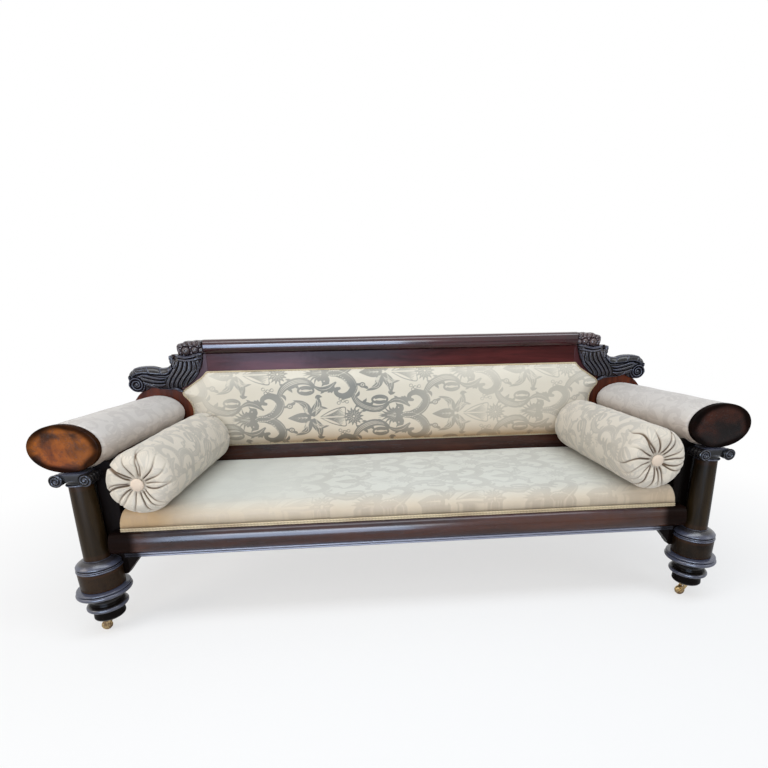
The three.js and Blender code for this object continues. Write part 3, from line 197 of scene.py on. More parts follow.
def closed_ring(grid):
    """Faces of a grid that wraps both ways, such as a cord round an outline."""
    rows, columns = grid.shape[:2]
    return grid.reshape(-1, 3), (grid_faces(rows + 1, columns, True) % (rows * columns)).tolist()


def prism(start, end):
    """Closed block between two outlines of as many points: (points, faces)."""
    count = len(start)
    i = np.arange(count)
    after = np.roll(i, -1)
    walls = np.stack([i, after, after + count, i + count], 1)
    return np.concatenate([start, end]), [i[::-1].tolist(), (i + count).tolist(), *walls.tolist()]


def volume_of(points, faces):
    """Signed volume: a sixth of the sum of each triangle's triple product."""
    fans = [(f[0], f[k], f[k + 1]) for f in faces for k in range(1, len(f) - 1)]
    a, b, c = (points[np.array(fans)[:, k]] for k in range(3))
    return float(np.einsum("ij,ij->i", a, np.cross(b, c)).sum() / 6)


def outwards(points, faces):
    """The faces, all turned about when they enclose a negative volume."""
    return [face[::-1] for face in faces] if volume_of(points, faces) < 0 else faces


def joined_shells(shells):
    """Joins several (points, faces) into one, each turned outwards, as the shells of one carved block."""
    faces, start = [], 0
    for shell_points, shell_faces in shells:
        faces += [[v + start for v in face] for face in outwards(shell_points, shell_faces)]
        start += len(shell_points)
    return np.concatenate([shell_points for shell_points, _ in shells]), faces


# Pieces

def piece(name, points, faces, slot, material, replaces, crease=None, marks=None, uv=None, body="frame"):
    """Makes a mesh object with its faces outwards, rides it on its body and hides the nodes it replaces."""
    points = np.asarray(points, float)
    mesh = bpy.data.meshes.new(name)
    mesh.from_pydata(points.tolist(), [], outwards(points, faces))
    mesh.shade_smooth()
    if crease:
        mesh.set_sharp_from_angle(angle=math.radians(crease))
    for mark, values in (marks or {}).items():
        layer = mesh.attributes.new(mark, "FLOAT", "POINT")
        layer.data.foreach_set("value", np.asarray(values, np.float32))
    if uv is not None:
        corner = np.zeros(len(mesh.loops), int)
        mesh.loops.foreach_get("vertex_index", corner)
        layer = mesh.uv_layers.new(name="cloth")
        layer.data.foreach_set("uv", np.asarray(uv, np.float32)[corner].ravel())
    return placed(name, mesh, body, material, replaces)


def linked(name, data):
    """A new object of some data, in the scene."""
    made = bpy.data.objects.new(name, data)
    bpy.context.scene.collection.objects.link(made)
    return made


def placed(name, mesh, body, material, replaces):
    """Makes a mesh an object of one material, on its body and the nodes it replaces."""
    made = linked(name, mesh)
    mesh.materials.append(material)
    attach(made, body)
    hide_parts(*replaces)
    return made


def bevelled(made, width, limit):
    """Eases the arrises sharper than a limit in degrees."""
    bevel = made.modifiers.new("eased_arris", "BEVEL")
    bevel.width, bevel.segments, bevel.limit_method = width, 2, "ANGLE"
    bevel.angle_limit = math.radians(limit)
    return bevel


def profile_wear(profile, closed=False):
    """Convexity of a profile at each point, from -1 in a groove to 1 on an arris."""
    p = np.asarray(profile, float)
    before = p - np.roll(p, 1, 0)
    after = np.roll(p, -1, 0) - p
    if not closed:
        before[0], after[-1] = after[0], before[-1]
    turn = before[:, 0] * after[:, 1] - before[:, 1] * after[:, 0]
    size = np.linalg.norm(before, axis=1) * np.linalg.norm(after, axis=1) + 1e-9
    angle = np.arcsin(np.clip(turn / size, -1, 1))
    first, last = (-1, 0) if closed else (0, -1)
    padded = np.r_[angle[first], angle, angle[last]]
    return np.clip(np.convolve(padded, [0.25, 0.5, 0.25], "valid") * 3, -1, 1)


def turned(node, profile, centre, look, steps=120, ripple=None, painted_light=None):
    """A turning: each profile point (radius, height) goes round the axis, with ripple added to its radius.

    Painted light gives a painted bluish highlight by height, and painted shade where it is negative; the
    highlight shows where the profile faces up to the light."""
    p = np.asarray(profile, float)
    angle = round_steps(steps)
    radius = p[:, :1] + (ripple(angle[None], p[:, 1:]) if ripple else 0)
    points, faces = tube_shell(round_z(angle, *centre, radius * MM, p[:, 1:] * MM))
    wear_and_light = profile_wear(p)
    if painted_light:
        run = np.gradient(p, axis=0)
        facing_up = -run[:, 0] / (np.linalg.norm(run, axis=1) + 1e-9)
        lit = 0.25 + 0.75 * smooth(-0.75, 0.2, facing_up)
        wear_and_light = np.where(wear_and_light < -0.35, wear_and_light, painted_light(p[:, 1]) * lit + 0.3 * wear_and_light)
    piece(node + "_turning", points, faces, "dark_mahogany", LOOKS[look], [node], 32,
          {"wear_and_painted_light": np.r_[np.repeat(wear_and_light, steps), 0, 0]})


def moulding(name, section, node, slot, look, steps, ends=0.0):
    """A straight moulding: a closed section carried along its node's length, darkened to black over its ends'
    length as painted shade.

    The section is (y, z) in millimetres from the column's axis and the floor."""
    low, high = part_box(node)
    x = np.linspace(low.x, high.x, steps)
    section = np.asarray(section, float) * MM + (ROW_Y, 0)
    points, faces = tube_shell(carried(section, x, 0))
    wear_and_light = np.repeat(profile_wear(section, True)[None], steps, 0)
    if ends:
        # Painted shade: both ends darken to black and lose their polish.
        painted_end_shade = 1 - smooth(0.1, 1, np.minimum(x - low.x, high.x - x) / ends)[:, None]
        wear_and_light = wear_and_light * (1 - painted_end_shade) - 1.2 * painted_end_shade
    return piece(name, points, faces, slot, LOOKS[look], [node], 32, {"wear_and_painted_light": np.r_[wear_and_light.ravel(), 0, 0]})


def eased(node, look):
    """A board with its arrises eased: a welded copy of the node, flat faces dissolved, then bevelled."""
    form = bmesh.new()
    form.from_mesh(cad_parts[node].data)
    bmesh.ops.remove_doubles(form, verts=form.verts, dist=1e-5)
    bmesh.ops.dissolve_limit(form, angle_limit=math.radians(0.5), verts=form.verts, edges=form.edges)
    mesh = bpy.data.meshes.new(node + "_eased")
    form.to_mesh(mesh)
    form.free()
    mesh.shade_smooth()
    mesh.set_sharp_from_angle(angle=math.radians(30))
    mesh.materials.clear()
    made = placed(node + "_eased", mesh, "frame", LOOKS[look], [node])
    bevelled(made, 1.2 * MM, 35).harden_normals = True


# Materials

def feed(tree, node, inputs):
    """Feeds a node's inputs by name: a socket is linked, and any other value is set."""
    for name, value in inputs.items():
        if isinstance(value, bpy.types.NodeSocket):
            tree.links.new(value, node.inputs[name])
        else:
            node.inputs[name].default_value = value


def put(tree, kind, inputs, **settings):
    """Adds a node with its own properties set and its inputs fed."""
    made = tree.nodes.new(kind)
    for name, value in settings.items():
        setattr(made, name, value)
    feed(tree, made, inputs)
    return made


def mixed(tree, factor, a, b, blend="MIX"):
    """Colour a turned into colour b by factor, which is a number or a socket."""
    return put(tree, "ShaderNodeMix", {0: factor, 6: a, 7: b}, data_type="RGBA", blend_type=blend).outputs[2]


def maths(tree, operation, *values):
    """One sum on numbers or sockets."""
    return put(tree, "ShaderNodeMath", dict(enumerate(values)), operation=operation).outputs[0]


def times(tree, a, b):
    """The product of two numbers or sockets."""
    return maths(tree, "MULTIPLY", a, b)


def ranged(tree, value, low, high, to_low=0.0, to_high=1.0):
    """Map Range with a smooth step."""
    return put(tree, "ShaderNodeMapRange", {0: value, 1: low, 2: high, 3: to_low, 4: to_high},
               interpolation_type="SMOOTHSTEP").outputs[0]


def noise(tree, vector, scale, detail=3.0, roughness=0.5, distortion=0.0):
    """Fractal noise of that many cycles a metre."""
    return put(tree, "ShaderNodeTexNoise", {"Vector": vector, "Scale": scale, "Detail": detail,
                                            "Roughness": roughness, "Distortion": distortion}).outputs["Fac"]


def bands(tree, vector, scale, distortion, direction, detail=2.0, detail_scale=1.0):
    """Bands of a sine wave across a direction."""
    return put(tree, "ShaderNodeTexWave", {"Vector": vector, "Scale": scale, "Distortion": distortion,
                                           "Detail": detail, "Detail Scale": detail_scale},
               bands_direction=direction).outputs["Fac"]


def attribute(tree, name):
    """A mesh attribute's value."""
    return put(tree, "ShaderNodeAttribute", {}, attribute_name=name).outputs["Fac"]


def stretched(tree, vector, scale):
    """A place scaled along each axis."""
    return put(tree, "ShaderNodeMapping", {"Vector": vector, "Scale": scale}).outputs[0]


def bumped(tree, height, strength, distance):
    """The normal pushed by a height."""
    inputs = {"Height": height, "Strength": strength, "Distance": distance}
    return put(tree, "ShaderNodeBump", inputs).outputs[0]


def object_place(tree):
    """Object coordinates, in metres."""
    return put(tree, "ShaderNodeTexCoord", {}).outputs["Object"]


def cloth_place(tree):
    """The place on the piece's own UV map, in metres."""
    return put(tree, "ShaderNodeUVMap", {}, uv_map="cloth").outputs[0]


def shader_group(name, inputs, outputs):
    """An empty node group, its sockets given by their kinds: returns (tree, its inputs, its output node)."""
    tree = bpy.data.node_groups.new(name, "ShaderNodeTree")
    for side, sockets in (("INPUT", inputs), ("OUTPUT", outputs)):
        for socket, kind in sockets.items():
            tree.interface.new_socket(name=socket, in_out=side, socket_type="NodeSocket" + kind)
    return tree, tree.nodes.new("NodeGroupInput").outputs, tree.nodes.new("NodeGroupOutput")


def grouped(tree, name, inputs):
    """Places a node group with its inputs fed: returns its outputs."""
    return put(tree, "ShaderNodeGroup", inputs, node_tree=bpy.data.node_groups[name]).outputs


def linear(colour):
    """An sRGB colour of 0 to 255 as linear light."""
    c = np.array(colour) / 255
    return (*np.where(c <= 0.04045, c / 12.92, ((c + 0.055) / 1.055) ** 2.4).tolist(), 1.0)


def grain_group():
    """Mahogany grain: long streaks, cross flame and open pores, with patches where old polish has lifted."""
    tree, given, out = shader_group(
        "mahogany_grain",
        {"Vector": "Vector", "Dark": "Color", "Light": "Color", "Patch": "Color", "Patch amount": "Float"},
        {"Color": "Color", "Height": "Float", "Roughness": "Float"})
    place = given["Vector"]
    lifted = noise(tree, place, 2.2, 2)
    streak = noise(tree, place, 16, 4, 0.62, 0.7)
    flame = noise(tree, place, 5, 3, 0.55, 1.6)
    pores = ranged(tree, noise(tree, place, 110, 2, 0.6), 0.52, 0.7)
    figure = ranged(tree, maths(tree, "ADD", times(tree, streak, 0.55), times(tree, flame, 0.45)), 0.36, 0.66)
    colour = mixed(tree, figure, given["Dark"], given["Light"])
    patch = times(tree, ranged(tree, lifted, 0.5, 0.72), given["Patch amount"])
    colour = mixed(tree, patch, colour, given["Patch"])
    colour = mixed(tree, times(tree, pores, 0.32), colour, (0.004, 0.0015, 0.001, 1))
    height = maths(tree, "SUBTRACT", times(tree, streak, 0.5), times(tree, pores, 0.4))
    rough = maths(tree, "ADD", times(tree, pores, 0.16), ranged(tree, lifted, 0.4, 0.75, 0.2, 0.4))
    feed(tree, out, {"Color": colour, "Height": height, "Roughness": rough})


def wear_and_painted_light_group():
    """Arrises paler and hollows darker, by the wear-and-light attribute. The pale colour is real rubbing in
    the brown looks and a painted highlight in the bluish ones; the dark is wax and dust in grooves together
    with painted shade, which also dulls the polish.
    """
    tree, given, out = shader_group(
        "arris_and_hollow_painted_light", {"Color": "Color", "Rubbed and highlit": "Color", "Vector": "Vector", "Amount": "Float"},
        {"Color": "Color", "Coat": "Float"})
    wear_and_painted_light = attribute(tree, "wear_and_painted_light")
    blotches = times(tree, noise(tree, given["Vector"], 38, 4, 0.65), 0.5)
    arris_wear_and_highlight = times(tree, ranged(tree, maths(tree, "ADD", wear_and_painted_light, blotches), 0.3, 1.1), given["Amount"])
    hollow_and_shade = ranged(tree, times(tree, wear_and_painted_light, -1.0), 0.05, 0.7)
    colour = mixed(tree, arris_wear_and_highlight, given["Color"], given["Rubbed and highlit"])
    colour = mixed(tree, times(tree, hollow_and_shade, 0.9), colour, (0.004, 0.0028, 0.0025, 1))
    feed(tree, out, {"Color": colour, "Coat": maths(tree, "SUBTRACT", 1.0, times(tree, hollow_and_shade, 0.93))})


def damask_group():
    """Damask: a satin figure on a ribbed ground, its edge drawn where the figure attribute passes 0."""
    tree, given, out = shader_group(
        "damask_weave",
        {"UV": "Vector", "Place": "Vector", "Ground": "Color", "Satin": "Color", "Stain and shade": "Color",
         "Strength": "Float"},
        {"Color": "Color", "Height": "Float", "Roughness": "Float"})
    satin = ranged(tree, attribute(tree, "figure"), -0.9, 0.9)
    rib = bands(tree, given["UV"], 190.0, 1.2, "Y", 1.0, 2.0)
    slub = noise(tree, stretched(tree, given["UV"], (40, 900, 1)), 1.0, 3, 0.6)
    tone = noise(tree, given["Place"], 3.2, 3, 0.6)
    # How strongly the satin shows: the per-piece strength and the figure-sheen attribute paint the satin's
    # sheen.
    shown = times(tree, times(tree, satin, given["Strength"]), attribute(tree, "fade"))
    shown = times(tree, shown, ranged(tree, tone, 0.2, 0.8, 0.8, 1.1))
    colour = mixed(tree, shown, given["Ground"], given["Satin"])
    # Multiplies in the soil-and-shade tint: warm soiling, and painted shade in creases and under the rolls.
    for share, tint in ((attribute(tree, "soil"), given["Stain and shade"]),
                        (ranged(tree, tone, 0.35, 0.75, 0.0, 0.12), (0.62, 0.60, 0.52, 1)),
                        (ranged(tree, slub, 0.3, 0.7, 0.0, 0.10), (0.55, 0.54, 0.50, 1))):
        colour = mixed(tree, share, colour, tint, "MULTIPLY")
    ground = maths(tree, "ADD", times(tree, rib, 0.6), times(tree, slub, 0.5))
    ground = times(tree, ground, maths(tree, "SUBTRACT", 1.15, satin))
    feed(tree, out, {"Color": colour, "Height": maths(tree, "ADD", ground, times(tree, satin, 0.8)),
                     "Roughness": maths(tree, "SUBTRACT", 0.86, times(tree, satin, 0.32))})


def new_material(name, colour):
    """A material of a plain linear colour: returns (material, tree, shader)."""
    material = bpy.data.materials.new(name)
    material.use_nodes = True
    material.diffuse_color = colour
    tree = material.node_tree
    return material, tree, tree.nodes["Principled BSDF"]


def wood(name, stretch, dark, light, patch, patches, rubbed_and_highlit, rubbing_and_highlight, coat, coat_rough, bump=0.25, shine=0.3,
         above=None):
    """Polished wood: its grain is drawn out along the axis whose stretch is small, under a coat of polish.

    Above gives the dark and light of a second polish, and the heights between which it takes over."""
    material, tree, shader = new_material(name, linear(light))
    place = object_place(tree)
    drawn = stretched(tree, place, stretch)
    polishes = [(dark, light, patch, patches)] + ([(above[0], above[1], above[1], 0.3)] if above else [])
    grains = [grouped(tree, "mahogany_grain", {"Vector": drawn, "Dark": linear(d), "Light": linear(l),
                                               "Patch": linear(p), "Patch amount": amount})
              for d, l, p, amount in polishes]
    colour = grains[0]["Color"]
    if above:
        height = put(tree, "ShaderNodeSeparateXYZ", {0: place}).outputs["Z"]
        colour = mixed(tree, ranged(tree, height, *above[2:]), colour, grains[1]["Color"])
    aged = grouped(tree, "arris_and_hollow_painted_light", {"Color": colour, "Rubbed and highlit": linear(rubbed_and_highlit), "Vector": place,
                                              "Amount": rubbing_and_highlight})
    feed(tree, shader, {
        "Base Color": aged["Color"], "Roughness": grains[0]["Roughness"], "Coat Roughness": coat_rough,
        "Coat Weight": times(tree, aged["Coat"], coat),
        "Specular IOR Level": times(tree, aged["Coat"], shine),
        "Normal": bumped(tree, grains[0]["Height"], bump, 0.0006)})
    return material


def damask(name, ground, satin, stain_and_shade, strength):
    """Upholstery damask for one piece: its ground and figure colours and how strongly the figure shows."""
    material, tree, shader = new_material(name, linear(ground))
    weave = grouped(tree, "damask_weave", {
        "UV": cloth_place(tree), "Place": object_place(tree), "Ground": linear(ground),
        "Satin": linear(satin), "Stain and shade": linear(stain_and_shade), "Strength": strength})
    feed(tree, shader, {
        "Base Color": weave["Color"], "Roughness": weave["Roughness"], "Sheen Weight": 0.25,
        "Sheen Roughness": 0.4, "Specular IOR Level": 0.25,
        "Normal": bumped(tree, weave["Height"], 0.3, 0.0005)})
    return material


def twisted_cord():
    """Silk-covered piping: diagonal strands along the cord's own UV, darker between them."""
    silk, shade = linear((194, 178, 144)), linear((146, 122, 88))
    material, tree, shader = new_material("silk_cord", silk)
    strand = bands(tree, cloth_place(tree), 60.0, 0.6, "DIAGONAL")
    tint = mixed(tree, ranged(tree, noise(tree, object_place(tree), 7.0), 0.35, 0.7, 0.0, 0.6), silk, shade)
    tint = mixed(tree, ranged(tree, strand, 0.0, 0.4, 0.35, 0.0), tint, shade, "MULTIPLY")
    feed(tree, shader, {"Base Color": tint, "Roughness": 0.55, "Sheen Weight": 0.2,
                        "Normal": bumped(tree, strand, 0.4, 0.0008)})
    return material


def old_brass():
    """Caster brass: tarnish in blotches over a warm metal."""
    material, tree, shader = new_material("caster_brass", linear((168, 130, 80)))
    place = object_place(tree)
    tarnish = ranged(tree, noise(tree, place, 55, 4, 0.6), 0.36, 0.66)
    scratch = noise(tree, place, 420, 2, 0.7)
    feed(tree, shader, {
        "Base Color": mixed(tree, tarnish, linear((206, 178, 128)), linear((92, 66, 42))),
        "Roughness": ranged(tree, tarnish, 0, 1, 0.32, 0.6),
        "Metallic": ranged(tree, tarnish, 0, 1, 0.95, 0.6),
        "Normal": bumped(tree, scratch, 0.15, 0.0004)})
    return material


def jute():
    """Seat webbing: plain weave of tan yarn, crossing at the yarns' own pitch."""
    material, tree, shader = new_material("jute_webbing", linear((168, 138, 96)))
    place = object_place(tree)
    yarn = maths(tree, "MAXIMUM", *(bands(tree, place, 110.0, 1.0, axis) for axis in "XY"))
    colour = mixed(tree, yarn, linear((120, 92, 58)), linear((186, 156, 112)))
    darker = ranged(tree, noise(tree, place, 18), 0.35, 0.7, 0.0, 0.5)
    colour = mixed(tree, darker, colour, linear((130, 100, 66)))
    feed(tree, shader, {"Base Color": colour, "Roughness": 0.9, "Normal": bumped(tree, yarn, 0.4, 0.0008)})
    return material


grain_group()
wear_and_painted_light_group()
damask_group()
ALONG_X, ALONG_Z, TURNED, ANY_WAY = (0.12, 1, 1), (1, 1, 0.12), (1, 1, 0.6), (1, 1, 1)
# The second colour is a painted bluish highlight, cool window light reflected in the polish; the third is a
# painted lilac sheen; RUBBED is real rubbed wear.
RUBBED, PAINTED_SKY_HIGHLIGHT, PAINTED_LILAC_SHEEN = (96, 58, 38), (74, 78, 96), (128, 98, 112)
# Material's name, stretch, dark, light and patch colours, patches' share, colour and share of pale arrises
# (real rubbing in brown, painted highlight in bluish and lilac),
# coat, its roughness, bump, shine, and the stile's second polish
LOOKS = {look: wood(*row) for look, row in {
    "rail": ("worn_rail", ALONG_X, (24, 11, 8), (72, 38, 26), (108, 68, 44), 0.7, PAINTED_SKY_HIGHLIGHT, 0.3, 0.5, 0.14, 0.25,
             0.15),
    "crest": ("glossy_crest", ALONG_X, (30, 9, 13), (64, 25, 30), (86, 38, 36), 0.4, PAINTED_SKY_HIGHLIGHT, 0, 1.0, 0.12,
              0.05, 0.1),
    "frieze": ("red_frieze", ALONG_X, (42, 18, 18), (86, 39, 38), (112, 50, 42), 0.7, PAINTED_LILAC_SHEEN, 0.22, 0.07, 0.3,
               0.25, 0.05),
    "column": ("brown_column", ALONG_Z, (15, 10, 5), (47, 36, 20), (62, 44, 26), 0.5, RUBBED, 0.1, 0.14, 0.3,
               0.25, 0.06),
    "drum": ("patchy_drum", TURNED, (13, 9, 6), (40, 29, 18), (62, 44, 28), 0.6, RUBBED, 0.15, 0.12, 0.3,
             0.25, 0.06),
    "foot": ("turned_foot", TURNED, (14, 11, 10), (36, 30, 27), (50, 42, 38), 0.5, PAINTED_SKY_HIGHLIGHT, 0.75, 0.6, 0.18),
    "capital": ("carved_capital", ANY_WAY, (10, 10, 11), (28, 26, 28), (40, 36, 36), 0.4, PAINTED_SKY_HIGHLIGHT, 0.6, 0.5,
                0.2),
    "flank": ("arm_flank", ALONG_Z, (22, 11, 8), (56, 30, 21), (78, 46, 30), 0.5, RUBBED, 0.2, 0.12, 0.35,
              0.25, 0.08),
    "shaded": ("shaded_board", ALONG_Z, (6, 4, 3), (16, 10, 8), (22, 14, 10), 0.4, RUBBED, 0.05, 0.0, 0.4,
               0.2, 0.05),
    "stile": ("orange_stile", ALONG_Z, (58, 24, 14), (114, 54, 30), (134, 70, 38), 0.5, RUBBED, 0.2, 0.14,
              0.25, 0.25, 0.1, ((38, 17, 19), (84, 42, 46), 0.722, 0.745)),
    # The carved and fruit looks' bluish and lilac rubbed colours are a painted highlight of window light on
    # their ridges.
    "carved": ("carved_mahogany", (0.5, 1, 1), (15, 12, 12), (46, 39, 38), (72, 54, 44), 0.5, (84, 88, 106),
               0.65, 0.42, 0.2, 0.12, 0.2),
    "fruit": ("carved_fruit", ANY_WAY, (26, 15, 14), (66, 44, 42), (88, 60, 52), 0.5, (96, 88, 100), 0.5, 0.7,
              0.2, 0.12),
    # The two caps are one veneer: the left painted lighter and orange as if lit from the left, the right
    # painted darker as if in shade.
    "cap_left": ("burr_cap", ANY_WAY, (50, 27, 8), (156, 86, 22), (134, 46, 20), 0.7, RUBBED, 0.1, 0.3, 0.2,
                 0.25, 0.15),
    "cap_right": ("dark_cap", ANY_WAY, (12, 5, 4), (60, 27, 15), (70, 32, 17), 0.5, RUBBED, 0.1, 0.3, 0.2,
                  0.25, 0.15),
    "frame_wood": ("plain_frame_wood", ALONG_X, (90, 62, 38), (134, 98, 62), (112, 80, 50), 0.5, RUBBED, 0.2,
                   0.1, 0.4),
    # The bead's bluish-grey colours are a painted sheen of cool window light on its polish.
    "bead": ("silvered_bead", ALONG_X, (52, 54, 66), (110, 114, 132), (70, 58, 58), 0.45, (150, 154, 172),
             0.6, 0.5, 0.2)}.items()}
STAIN_AND_SHADE = (228, 194, 156)
# Material's name, ground, satin, and stain-and-shade colours, and how strongly the figure shows: a painted
# sheen of the satin on each piece
CLOTHS = {cloth: damask(*row) for cloth, row in {
    "back": ("back_damask", (213, 207, 193), (122, 122, 116), STAIN_AND_SHADE, 0.95),
    "seat": ("seat_damask", (211, 211, 202), (172, 170, 163), STAIN_AND_SHADE, 0.5),
    "roll": ("roll_damask", (203, 197, 191), (166, 158, 153), STAIN_AND_SHADE, 0.65),
    # The bolster's greyer stain colour is painted shade in its creases.
    "bolster": ("bolster_damask", (214, 205, 190), (158, 155, 148), (138, 120, 104), 0.62),
    "gathers": ("bolster_gathers", (222, 212, 200), (196, 176, 160), STAIN_AND_SHADE, 0.3)}.items()}
CORD, BRASS, JUTE = twisted_cord(), old_brass(), jute()


# Woodwork, in millimetres: turned profiles are (radius, height) from the axis and the floor

FOOT = outline_of(
    (0, 54), (35, 54), arc(36, 61, 9, 7, -88, 0, 6),
    curve_through([(45, 62), (44, 75), (45, 88)], 9), (50, 89),
    curve_through([(52, 90), (58, 93.5), (59.5, 99), (57, 104), (50, 107.5)], 18), (47, 108.5),
    curve_through([(45.6, 111), (43.5, 121), (46.5, 131), (53, 138), (63, 142)], 18),
    arc(71, 151, 8, 7.4, -92, 84, 18), (71, 158.8), (71.4, 159.2), arc(72, 162.9, 4, 3.4, -78, 84, 10),
    (66, 167.2), (0, 168.4))
DRUM = outline_of(
    (0, 168.9), (60.5, 168.9), (61.8, 170), curve_through([(62, 171), (62.6, 199), (63.2, 228)], 12),
    (62, 229.6), (0, 229.8))
BASE = outline_of(
    (0, 230.2), (61, 230.2), arc(61.6, 233.4, 3.4, 3, -82, 80, 10), (61.2, 236.8),
    arc(61.4, 239.2, 2.8, 2.2, -80, 78, 9), (59.6, 241.9), (59.4, 242.9),
    curve_through([(60.4, 243.2), (63.4, 245.4), (63.3, 248.6), (59.6, 253.2), (53.2, 258.4), (46.4, 262.6),
                   (42.3, 264.2)], 26),
    (40.6, 264.5), arc(39.2, 265.8, 1.8, 1.1, -80, 85, 6), (0, 267.1))
NECK = outline_of((0, 512.8), (34.5, 512.8), arc(35, 516, 3.4, 3, -80, 80, 8), (34, 519.6),
                  curve_through([(34, 520), (35, 526), (40, 534)], 9), (0, 534.5))
SHAFT_FOOT_Z, SHAFT_HEAD_Z = 267.5, 512.3


def shaft():
    """The column: a slow taper with its swell low down."""
    share = np.linspace(0, 1, 26)
    swell = np.interp(share, [0, 0.25, 0.5, 0.75, 1], [0, 0.14, 0.38, 0.67, 1])
    radius = SHAFT_BOTTOM_RADIUS + (SHAFT_TOP_RADIUS - SHAFT_BOTTOM_RADIUS) * swell
    height = SHAFT_FOOT_Z + (SHAFT_HEAD_Z - SHAFT_FOOT_Z) * share
    return outline_of((0, SHAFT_FOOT_Z), np.stack([radius, height], 1), (0, SHAFT_HEAD_Z))


def foot_painted_light(z):
    """Painted light on the foot by height: a painted bluish highlight on its two rings and painted shade in
    its coves.
    """
    return 1.5 * (smooth(88, 92, z) * (1 - smooth(103, 108, z)) + smooth(138, 144, z)) - 0.75


def base_painted_light(z):
    """Painted light on the column base by height: a painted bluish highlight on its swelling and beads,
    weaker and darker where the torus meets the shaft.
    """
    return 0.75 - 0.55 * smooth(252, 261, z)


def rope_twist(angle, z):
    """Cuts the upper thin bead into slanting strands: a sine of angle plus a slope in height."""
    depth = smooth(237, 237.8, z) * (1 - smooth(240.8, 241.6, z))
    return depth * (0.7 * np.abs(np.sin(36 * angle + z * 0.8)) - 0.7)


def legs_and_columns(side, way):
    """The turned parts on one column axis."""
    axis = (way * COLUMN_X, COLUMN_Y)
    turned("front_foot_" + side, FOOT, axis, "foot", painted_light=foot_painted_light)
    turned("drum_" + side, DRUM, axis, "drum")
    turned("column_base_" + side, BASE, axis, "foot", 240, rope_twist, base_painted_light)
    turned("column_" + side, shaft(), axis, "column")


def spiral_face(angle, share):
    """Relief of a volute's face: a ridge whose radius shrinks with the angle, two turns to a button."""
    ridge = np.abs((share * 2.3 - angle / TURN) % 1 - 0.5) * 2
    return smooth(0.25, 0.75, ridge) * smooth(0.12, 0.2, share) + (1 - smooth(0.1, 0.22, share)) * 1.1


def volute(x, z, radius, y_front, y_back, hand):
    """A scrolled roller along Y: a waisted, beaded turning closed by two spiral faces. Adds its marks: paler
    on the spiral's ridges, where the capital's look paints a bluish highlight, and darker in its grooves and
    along the roller.
    """
    around, along, share = round_steps(56), np.linspace(0, 1, 60), np.linspace(0.04, 0.98, 15)
    waist = 1 - 0.10 * smooth(0.02, 0.3, np.minimum(along, 1 - along)) + 0.045 * np.cos(along * TURN * 5.5)
    wide = radius * np.r_[share, waist, share[::-1]][:, None]
    deep = np.r_[np.zeros(15), along, np.ones(15)][:, None]
    face, plain = spiral_face(around * hand, share[:, None]), np.zeros((60, 56))
    cut = 2.4 * MM * np.concatenate([face - 1, plain, 1 - face[::-1]])
    wear_and_light = np.concatenate([(face - 0.5) * 1.4, plain - 0.3, (face[::-1] - 0.5) * 1.4])
    shell = tube_shell(round_y(around, x, z, wide, wide, y_front + (y_back - y_front) * deep + cut))
    return shell, np.r_[wear_and_light.ravel(), 0.5, 0.5]


def capital(side, way):
    """Scroll capital: two rolled volutes, a sagging band between them and a turned neck below."""
    x = way * COLUMN_X
    low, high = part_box("capital_" + side)
    front, back = low.y + 2.6 * MM, high.y - 2.6 * MM
    made = [volute(x + hand * 41 * MM, 536.2 * MM, 18.4 * MM, front, back, -hand) for hand in (-1, 1)]
    across = np.linspace(-38, 38, 25)
    upper = np.stack([x + across * MM, np.full(25, high.z - 0.4 * MM)], 1)
    under = np.stack([upper[:, 0], (532.5 - 1.6 * np.cos(across / 38 * math.pi)) * MM], 1)
    places = np.linspace(front + 6 * MM, back - 6 * MM, 30)
    band = tube_shell(carried(outline_of(upper, under[::-1]), places, 1))
    # The band's top edge gets a painted bluish highlight, and the rest of it is darker.
    made.append((band, np.where(band[0][:, 2] > high.z - 2 * MM, 0.7, -0.2)))
    neck = tube_shell(round_z(round_steps(64), x, COLUMN_Y, NECK[:, :1] * MM, NECK[:, 1:] * MM))
    made.append((neck, np.r_[np.repeat(profile_wear(NECK), 64), 0, 0]))
    points, faces = joined_shells([shell for shell, _ in made])
    points[:, 2] = np.minimum(points[:, 2], high.z - 0.2 * MM)
    piece(f"capital_{side}_carving", points, faces, "dark_mahogany", LOOKS["capital"],
          [f"capital_{side}"], 35, {"wear_and_painted_light": np.concatenate([wear_and_light for _, wear_and_light in made])})


def roll_cap(side, way):
    """Cap of the arm roll: an oval board, its profile from centre to rim scaled as nested ellipses."""
    low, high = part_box("roll_cap_" + side)
    a, b = (high.x - low.x) / 2 * 0.962, (high.z - low.z) / 2 * 0.972
    x, z = (high.x - a if way > 0 else low.x + a), low.z + b
    share = np.r_[0.02, 0.12, 0.25, 0.4, 0.55, 0.68, 0.78, 0.86, 0.92, 0.96, 0.985, 0.996, 1, 1, 0.99,
                  0.6, 0.02]
    inwards = np.r_[np.zeros(10), 0.1, 0.6, 1.6, 17.4, 17.9, 17.9, 17.9]
    share, inwards, around = share[:, None], inwards[:, None], round_steps(120)
    points, faces = tube_shell(round_y(around, x, z, a * share, b * share, low.y + inwards * MM))
    patchy = 0.35 * ripples(12 + way, 6, 3, 7)(np.cos(around), np.sin(around))
    rim = -0.75 * smooth(0.62, 0.98, share) * (1 + patchy)
    piece(f"roll_cap_{side}_board", points, faces, "veneer", LOOKS["cap_" + side], [f"roll_cap_{side}"], 35,
          {"wear_and_painted_light": np.r_[rim.ravel(), 0, 0]})


